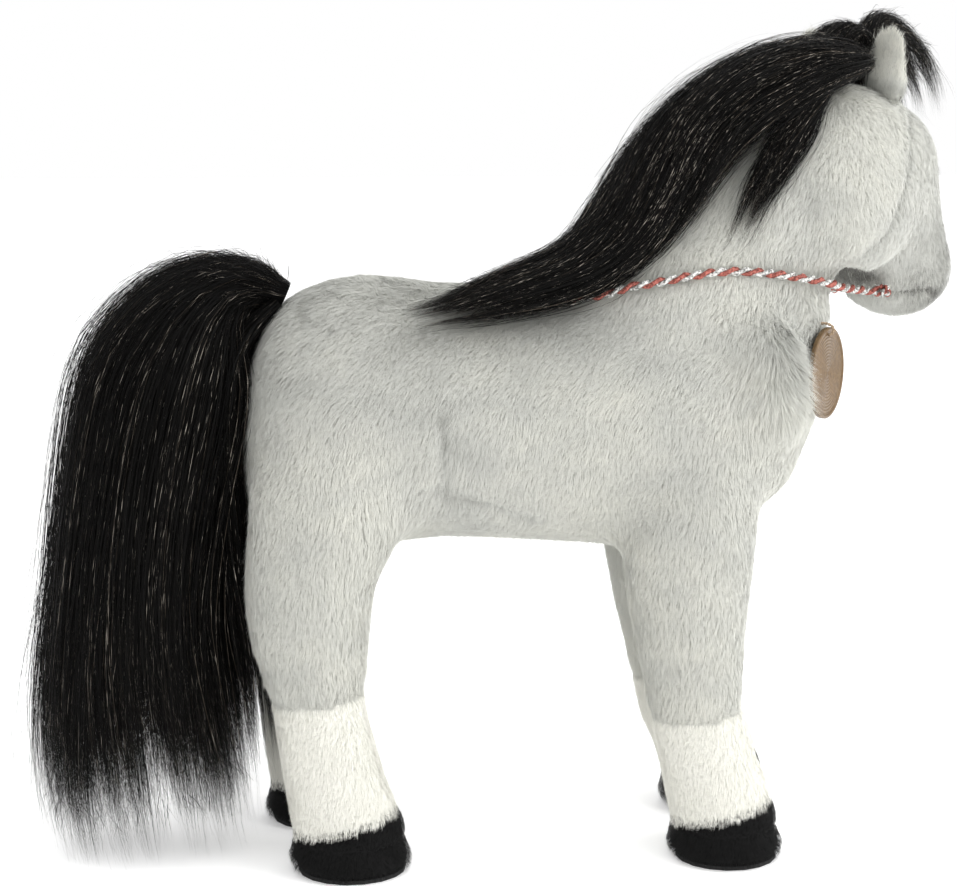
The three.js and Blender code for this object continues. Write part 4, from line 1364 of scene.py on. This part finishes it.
def strand_piece(name, points, outward, style, body, rng):
    """The strands as ribbons that face out of the sweep, give or take a twist."""
    count, steps = points.shape[:2]
    t = np.linspace(0, 1, steps)[None]
    along = unit(np.gradient(points, axis=1))
    side = unit(np.cross(along, outward))
    face = np.cross(side, along)
    twist = rng.uniform(-STRAND_TWIST, STRAND_TWIST, (count, 1, 1))
    twist = twist + rng.uniform(-FURTHER_TWIST, FURTHER_TWIST, (count, 1, 1)) * t[..., None]
    side = side * np.cos(twist) + face * np.sin(twist)
    widths = style.half_width * np.clip((1 - t) / TAPER, 0.15, 1) * rng.uniform(0.7, 1.3, (count, 1))
    # Strands that shine carry painted glints
    shining = rng.random(count) < style.shine
    tones = np.where(shining, rng.uniform(*SHINING_TONES, count), rng.uniform(*DULL_TONES, count))
    return place(name, ribbon_mesh(name, points, side, widths, tones), body, "hair", long_hair)


CORE_RINGS = 60
CORE_SIDES = 64


def core_piece(name, sweep, style, body):
    """The dark mass of hair inside a sweep, where single strands no longer show."""
    rings = np.linspace(0.01, style.core_end, CORE_RINGS)[:, None]
    around = full_turn(CORE_SIDES)[None]
    closing = np.sqrt(np.clip((style.core_end - rings) / 0.3, 0.02, 1))
    closing = closing * np.sqrt(np.clip(rings / 0.05, 0.05, 1))
    lobes = 1 + 0.05 * np.cos(11 * around + 9 * rings) + 0.03 * np.cos(23 * around)
    size = style.core_share * closing * lobes
    points, _ = sweep.at(rings + 0 * around, size * np.cos(around), size * np.sin(around))
    points[..., 2] = np.maximum(points[..., 2], style.floor)
    place(name, capped_tube(name, points), body, "hair", hair_core)


def hair(node, sweep, style, body, seed, frizz, frizz_length, frizz_span=(0.0, 0.95)):
    rng = np.random.default_rng(seed)
    strands = strand_piece(f"{node}_hair", *lock_lines(sweep, style, rng), style, body, rng)
    loose = frizz_lines(sweep, style, frizz, frizz_length, frizz_span, rng)
    strand_piece(f"{node}_frizz", *loose, style, body, rng)
    core_piece(f"{node}_core", sweep, style, body)
    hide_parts(node)


WISP_DRAPE = 4.0


def draped(points, clearance):
    """The points, with those in the pile of the cover lifted out of it."""
    tree = search_tree(cover.data)
    flat = points.reshape(-1, 3)
    for i, point in enumerate(flat):
        nearest, outward, _, _ = tree.find_nearest(Vector(point) * MM)
        surface = np.array(nearest) / MM
        if (point - surface) @ np.array(outward) < clearance:
            flat[i] = surface + np.array(outward) * clearance
    return flat.reshape(points.shape)


def more_hair(name, sweep, style, body, seed, drape=None):
    rng = np.random.default_rng(seed)
    points, outward = lock_lines(sweep, style, rng)
    if drape is not None:
        points = draped(points, drape)
    strand_piece(name, points, outward, style, body, rng)


def sweep_rows(table, origin, length=1, half_wide=1, half_high=1):
    """Rows of places from an origin and half sizes, which may be shares of a length and of two others."""
    rows = np.array(table, float)
    rows[:, :3] = origin + rows[:, :3] * length
    rows[:, 3] *= half_wide
    rows[:, 4] *= half_high
    return rows


MANE_LENGTH = 190
MANE_THICKNESS = 26
MANE_SHARES = [
    [0.395, -0.040, 0.560, 0.26, 0.22],
    [0.345, -0.050, 0.552, 0.60, 0.42],
    [0.222, -0.062, 0.529, 0.84, 0.60],
    [0.050, -0.075, 0.438, 0.94, 0.68],
    [-0.045, -0.090, 0.314, 0.96, 0.66],
    [-0.130, -0.110, 0.204, 0.94, 0.56],
    [-0.228, -0.130, 0.132, 0.88, 0.44],
    [-0.369, -0.155, 0.096, 0.76, 0.38],
    [-0.460, -0.175, 0.074, 0.60, 0.28],
    [-0.510, -0.185, 0.064, 0.46, 0.22],
]
mane_rows = sweep_rows(MANE_SHARES, NECK_ROOT, MANE_LENGTH, MANE_THICKNESS, MANE_THICKNESS)
hair(
    "mane", Sweep(mane_rows, 0.06),
    HairStyle(strands=24000, steps=15, locks=420, starts=(0.0, 0.66), lengths=(0.28, 0.50),
              angles=(-3.7, 0.7), drift=-0.35, floor=200,
              reach=(0.60, 0.96), spread=0.15, core_share=0.66, strays=0.05, flare=0.06),
    "horse", seed=101, frizz=5000, frizz_length=8,
)
# A thin lock that leaves the mane's lower edge and lies over the neck. Rows are places (X, Y, Z).
WISP_ROWS = [
    [112, -19, 304, 2.5, 4], [105, -25, 298, 2.5, 5.5], [97.5, -28.5, 289, 2.5, 7], [88, -31, 276, 2.5, 7],
    [81.5, -33, 266, 2.2, 6], [76.5, -34.5, 256, 2, 5], [71, -35.5, 245, 2, 4],
]
more_hair(
    "mane_wisps", Sweep(sweep_rows(WISP_ROWS, ORIGIN), 0.05, smoothing=8),
    HairStyle(strands=1250, steps=14, locks=36, starts=(0.0, 0.2), lengths=(0.3, 0.95),
              floor=200, reach=(0.2, 1.2), flare=0.6, spread=0.3,
              waver=1.5, strays=0.3),
    "horse", seed=111, drape=WISP_DRAPE,
)

TAIL_LENGTH = 226
TAIL_WIDTH = 68
TAIL_DEPTH = 92
DOCK = ORIGIN + [-98.36, 0, 224.3]
TAIL_SHARES = [
    [0.000, 0, 0.000, 0.14, 0.10],
    [-0.045, 0, 0.018, 0.24, 0.18],
    [-0.095, 0, 0.018, 0.40, 0.29],
    [-0.150, 0, -0.025, 0.60, 0.47],
    [-0.187, 0, -0.095, 0.78, 0.61],
    [-0.214, 0, -0.180, 0.90, 0.68],
    [-0.246, 0, -0.336, 0.98, 0.68],
    [-0.270, 0, -0.520, 1.00, 0.71],
    [-0.274, 0, -0.690, 1.00, 0.83],
    [-0.264, 0, -0.830, 0.98, 0.89],
    [-0.256, 0, -0.900, 0.96, 0.88],
    [-0.250, 0, -0.940, 0.94, 0.86],
]
tail_rows = sweep_rows(TAIL_SHARES, DOCK, TAIL_LENGTH, TAIL_WIDTH / 2, TAIL_DEPTH / 2)
hair(
    "tail", Sweep(tail_rows, 0.06, smoothing=8),
    HairStyle(strands=27000, steps=18, locks=130, starts=(0.0, 0.05), lengths=(0.78, 1.06),
              core_end=0.70, root_reach=0.66, core_share=0.66,
              waver=1.0, spread=0.2, reach=(0.6, 0.98), shine=0.10, strays=0.14, flare=0.16),
    "tail_body", seed=102, frizz=7000, frizz_length=15,
)
# The lowest hair of the dock, which falls straight down the rump. Rows are places (X, Y, Z).
DOCK_ROWS = [
    [-101.5, 0, 222, 9, 4], [-110.5, 0, 214, 13, 5], [-117.5, 0, 203, 18, 5.5], [-121.5, 0, 190, 22, 6],
    [-123.0, 0, 168, 22, 6], [-121.5, 0, 140, 21, 7], [-119.0, 0, 110, 20, 8], [-116.0, 0, 80, 20, 8],
    [-113.0, 0, 45, 20, 8],
]
more_hair(
    "tail_root_hair", Sweep(sweep_rows(DOCK_ROWS, ORIGIN), 0.05, smoothing=8),
    HairStyle(strands=7000, steps=16, locks=90, starts=(0.0, 0.2), lengths=(0.62, 0.95),
              spread=0.2, waver=1.0, shine=0.10),
    "tail_body", seed=112,
)

FORELOCK_LENGTH = 56
FORELOCK_WIDTH = 17
FORELOCK_SHARES = [
    [-0.17, 0, 0.44, 0.24, 0.20],
    [-0.24, 0, 0.66, 0.26, 0.30],
    [-0.22, 0, 0.92, 0.32, 0.42],
    [-0.05, 0, 1.06, 0.42, 0.48],
    [0.24, 0, 1.13, 0.56, 0.52],
    [0.50, 0, 1.13, 0.64, 0.52],
    [0.72, 0, 1.05, 0.66, 0.48],
    [0.92, 0, 0.90, 0.66, 0.42],
]
forelock_rows = sweep_rows(FORELOCK_SHARES, 0, FORELOCK_LENGTH, FORELOCK_WIDTH, FORELOCK_WIDTH)
forelock_rows[:, :3] = from_head(forelock_rows[:, :3])
hair(
    "forelock", Sweep(forelock_rows, 0.15, smoothing=8),
    HairStyle(strands=2400, steps=14, locks=56, starts=(0.0, 0.14), lengths=(0.42, 0.88),
              core_share=0.6, core_end=0.5, floor=200,
              flare=0.3, spread=0.16, waver=1.3, reach=(0.75, 1.0)),
    "horse", seed=103, frizz=900, frizz_length=11, frizz_span=(0.0, 0.6),
)
# The tuft between forelock and mane. Rows are places (X, Y, Z) from the middle of the head.
POLL_ROWS = [
    [4, 1, 24, 8, 4.5], [4, 1, 37, 9, 4.5], [2, 0, 47, 10, 4.5], [-3, -2, 48, 11, 4.5], [-10, -5, 42, 11, 5],
    [-20, -9, 33, 11, 5],
]
more_hair(
    "poll_hair", Sweep(sweep_rows(POLL_ROWS, HEAD_MIDDLE), 0.1, smoothing=8),
    HairStyle(strands=3600, steps=12, locks=90, starts=(0.0, 0.3), lengths=(0.35, 0.8),
              floor=200, flare=0.3, spread=0.2, waver=1.2,
              reach=(0.5, 1.0)),
    "horse", seed=113,
)


# Medallion: an embossed leather disc with fine rings, a raised rim and a hole for its loop
RIM_WIDTH = 1.6
HOLE_RADIUS = 1.7
GROOVE_PITCH = 1.25
GROOVE_DEPTH = 0.08
FACE_DROP = 0.12
FACE_STEPS = 150
RIPPLE_GAIN = 1.6
RIM_STEPS = 12
# The mesh's rings start this far from the disc's axis; the disc's back edge is cut by so much across and
# along; and its back lies this far off its seat
MIDDLE_RADIUS = 0.05
EDGE_CUT = 0.25
EDGE_HEIGHT = 0.3
BACK_HEIGHT = 0.02
DISC_SIDES = 128
HOLE_SIDES = 40


def medallion_leather():
    material, tree, shader = new_material("medallion_leather")
    noise = object_noise(tree, 700, 6.0)
    broad = object_noise(tree, 60, 2.0)
    fine = colour_ramp(tree, noise, [(0.3, (0.10, 0.056, 0.020)), (0.7, (0.18, 0.110, 0.044))])
    wear = colour_ramp(tree, broad, [(0.35, grey(0.85)), (0.7, (1.0, 0.98, 0.94))])
    tree.links.new(mixed(tree, "MULTIPLY", fine, wear), shader.inputs["Base Color"])
    set_inputs(shader, {"Roughness": 0.42, "Metallic": 0.25, "Coat Weight": 0.15})
    bumped(tree, shader, noise, 0.35, 0.0004)
    return material


def disc_point(radius, angle, height):
    return (
        DISC_SEAT
        + DISC_SIDE * (radius * np.cos(angle))[..., None]
        + DISC_UP * (radius * np.sin(angle))[..., None]
        + DISC_OUT * np.asarray(height)[..., None]
    )


def disc_profile():
    """Radii and heights from the middle of the face over the rim to the middle of the back."""
    face_radii = np.linspace(MIDDLE_RADIUS, DISC_RADIUS - RIM_WIDTH, FACE_STEPS)
    ripple = np.clip(np.cos(2 * np.pi * face_radii / GROOVE_PITCH) * RIPPLE_GAIN, -1, 1)
    face_heights = DISC_THICKNESS - FACE_DROP + GROOVE_DEPTH * ripple
    rim_turn = np.linspace(math.pi, 0, RIM_STEPS)
    rim_radii = DISC_RADIUS - RIM_WIDTH / 2 + RIM_WIDTH / 2 * np.cos(rim_turn)
    rim_heights = DISC_THICKNESS - FACE_DROP + RIM_HEIGHT * np.sin(rim_turn)
    radii = np.concatenate([face_radii, rim_radii, [DISC_RADIUS, DISC_RADIUS - EDGE_CUT, MIDDLE_RADIUS]])
    heights = np.concatenate([face_heights, rim_heights, [EDGE_HEIGHT, BACK_HEIGHT, BACK_HEIGHT]])
    return radii[:, None], heights[:, None]


def punch_hole(disc, centre):
    around = full_turn(HOLE_SIDES)[:, None]
    ring = HOLE_RADIUS * (DISC_SIDE * np.cos(around) + DISC_UP * np.sin(around))
    rings = np.stack([centre + ring + DISC_OUT * depth for depth in (-4, 6)])
    tool = add_object("hole", capped_tube("hole", rings))
    punch = disc.modifiers.new("punch", "BOOLEAN")
    punch.operation = "DIFFERENCE"
    punch.object = tool
    bake_modifiers(disc)
    bpy.data.objects.remove(tool)


radii, heights = disc_profile()
disc_angles = full_turn(DISC_SIDES)[None]
disc_rings = disc_point(radii + 0 * disc_angles, disc_angles + 0 * radii, heights + 0 * disc_angles)
disc_faces = grid_faces(len(radii), DISC_SIDES, closed_rows=True)
face_sizes = np.full(len(disc_faces), 4)
disc_mesh = mesh_of("medallion_disc", disc_rings.reshape(-1, 3), disc_faces.ravel(), face_sizes)
disc = place("medallion_disc", disc_mesh, "medallion_body", "medallion", medallion_leather())
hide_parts("medallion")
hole_centre = DISC_SEAT + DISC_UP * (DISC_RADIUS - RIM_WIDTH - HOLE_RADIUS)
punch_hole(disc, hole_centre)

# The thread loop, an upright oval through the hole and back to the chest
LOOP_RADIUS = 3.9
LOOP_HEIGHT_SHARE = 0.62
LOOP_THREAD = 1.2
LOOP_SETBACK = 0.25
LOOP_LAY = 3.0
LOOP_STEPS = 90
loop_drop = DISC_THICKNESS / 2 + LOOP_SETBACK
loop_rise = LOOP_HEIGHT_SHARE * math.sqrt(LOOP_RADIUS ** 2 - loop_drop ** 2)
loop_centre = hole_centre - DISC_OUT * LOOP_SETBACK + DISC_UP * loop_rise
loop_turn = full_turn(LOOP_STEPS)[:, None]
loop_path = loop_centre + LOOP_RADIUS * (
    DISC_UP * LOOP_HEIGHT_SHARE * np.cos(loop_turn) + DISC_OUT * np.sin(loop_turn)
)
loop, _, _ = laid_cord(
    "medallion_thread", loop_path, LOOP_THREAD, LOOP_LAY, "medallion_body", "thread",
    (loop_yarn, loop_yarn), closed=True,
)
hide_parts("medallion_loop")


# Plain pale floor and soft studio light
FLOOR_SIZE = 12


def plain_floor():
    half = FLOOR_SIZE / 2 / MM
    corners = np.array([(-half, -half, 0), (half, -half, 0), (half, half, 0), (-half, half, 0)], float)
    floor = add_object("floor", mesh_of("floor", corners, np.arange(4), np.array([4])))
    material, _, shader = new_material("floor")
    set_inputs(shader, {
        "Base Color": (0.985, 0.985, 0.985, 1), "Roughness": 0.9, "Specular IOR Level": 0.1,
        "Emission Color": (1, 1, 1, 1), "Emission Strength": 0.3,
    })
    dress(floor, material)


def area_light(name, azimuth, elevation, distance, size, power):
    light = add_object(name, bpy.data.lights.new(name, "AREA"))
    direction = direction_at(azimuth, elevation)
    light.location = VIEW_TARGET + direction * distance
    light.rotation_euler = (-direction).to_track_quat("-Z", "Y").to_euler()
    light.data.size = size
    light.data.energy = power


# Each light's azimuth and elevation in degrees, distance and size in metres, and power in watts
LIGHTS = {
    "key_light": (64, 28, 2.2, 1.8, 36),
    "front_light": (-20, 30, 2.2, 1.4, 6),
    "top_light": (-30, 75, 2.0, 1.4, 11),
    "back_light": (160, 40, 2.2, 1.4, 7),
}
plain_floor()
for name, values in LIGHTS.items():
    area_light(name, *values)

# The strength of the white surroundings as a light and as the camera sees them
WORLD_LIGHT = 0.87
WORLD_SEEN = 1.0
world = bpy.data.worlds.new("studio")
scene.world = world
world.use_nodes = True
background = world.node_tree.nodes["Background"]
set_inputs(background, {"Color": (1, 1, 1, 1)})
seen = world.node_tree.nodes.new("ShaderNodeLightPath")
strength = world.node_tree.nodes.new("ShaderNodeMapRange")
set_inputs(strength, {"To Min": WORLD_LIGHT, "To Max": WORLD_SEEN})
world.node_tree.links.new(seen.outputs["Is Camera Ray"], strength.inputs["Value"])
world.node_tree.links.new(strength.outputs["Result"], background.inputs["Strength"])
scene.view_settings.view_transform = "Standard"
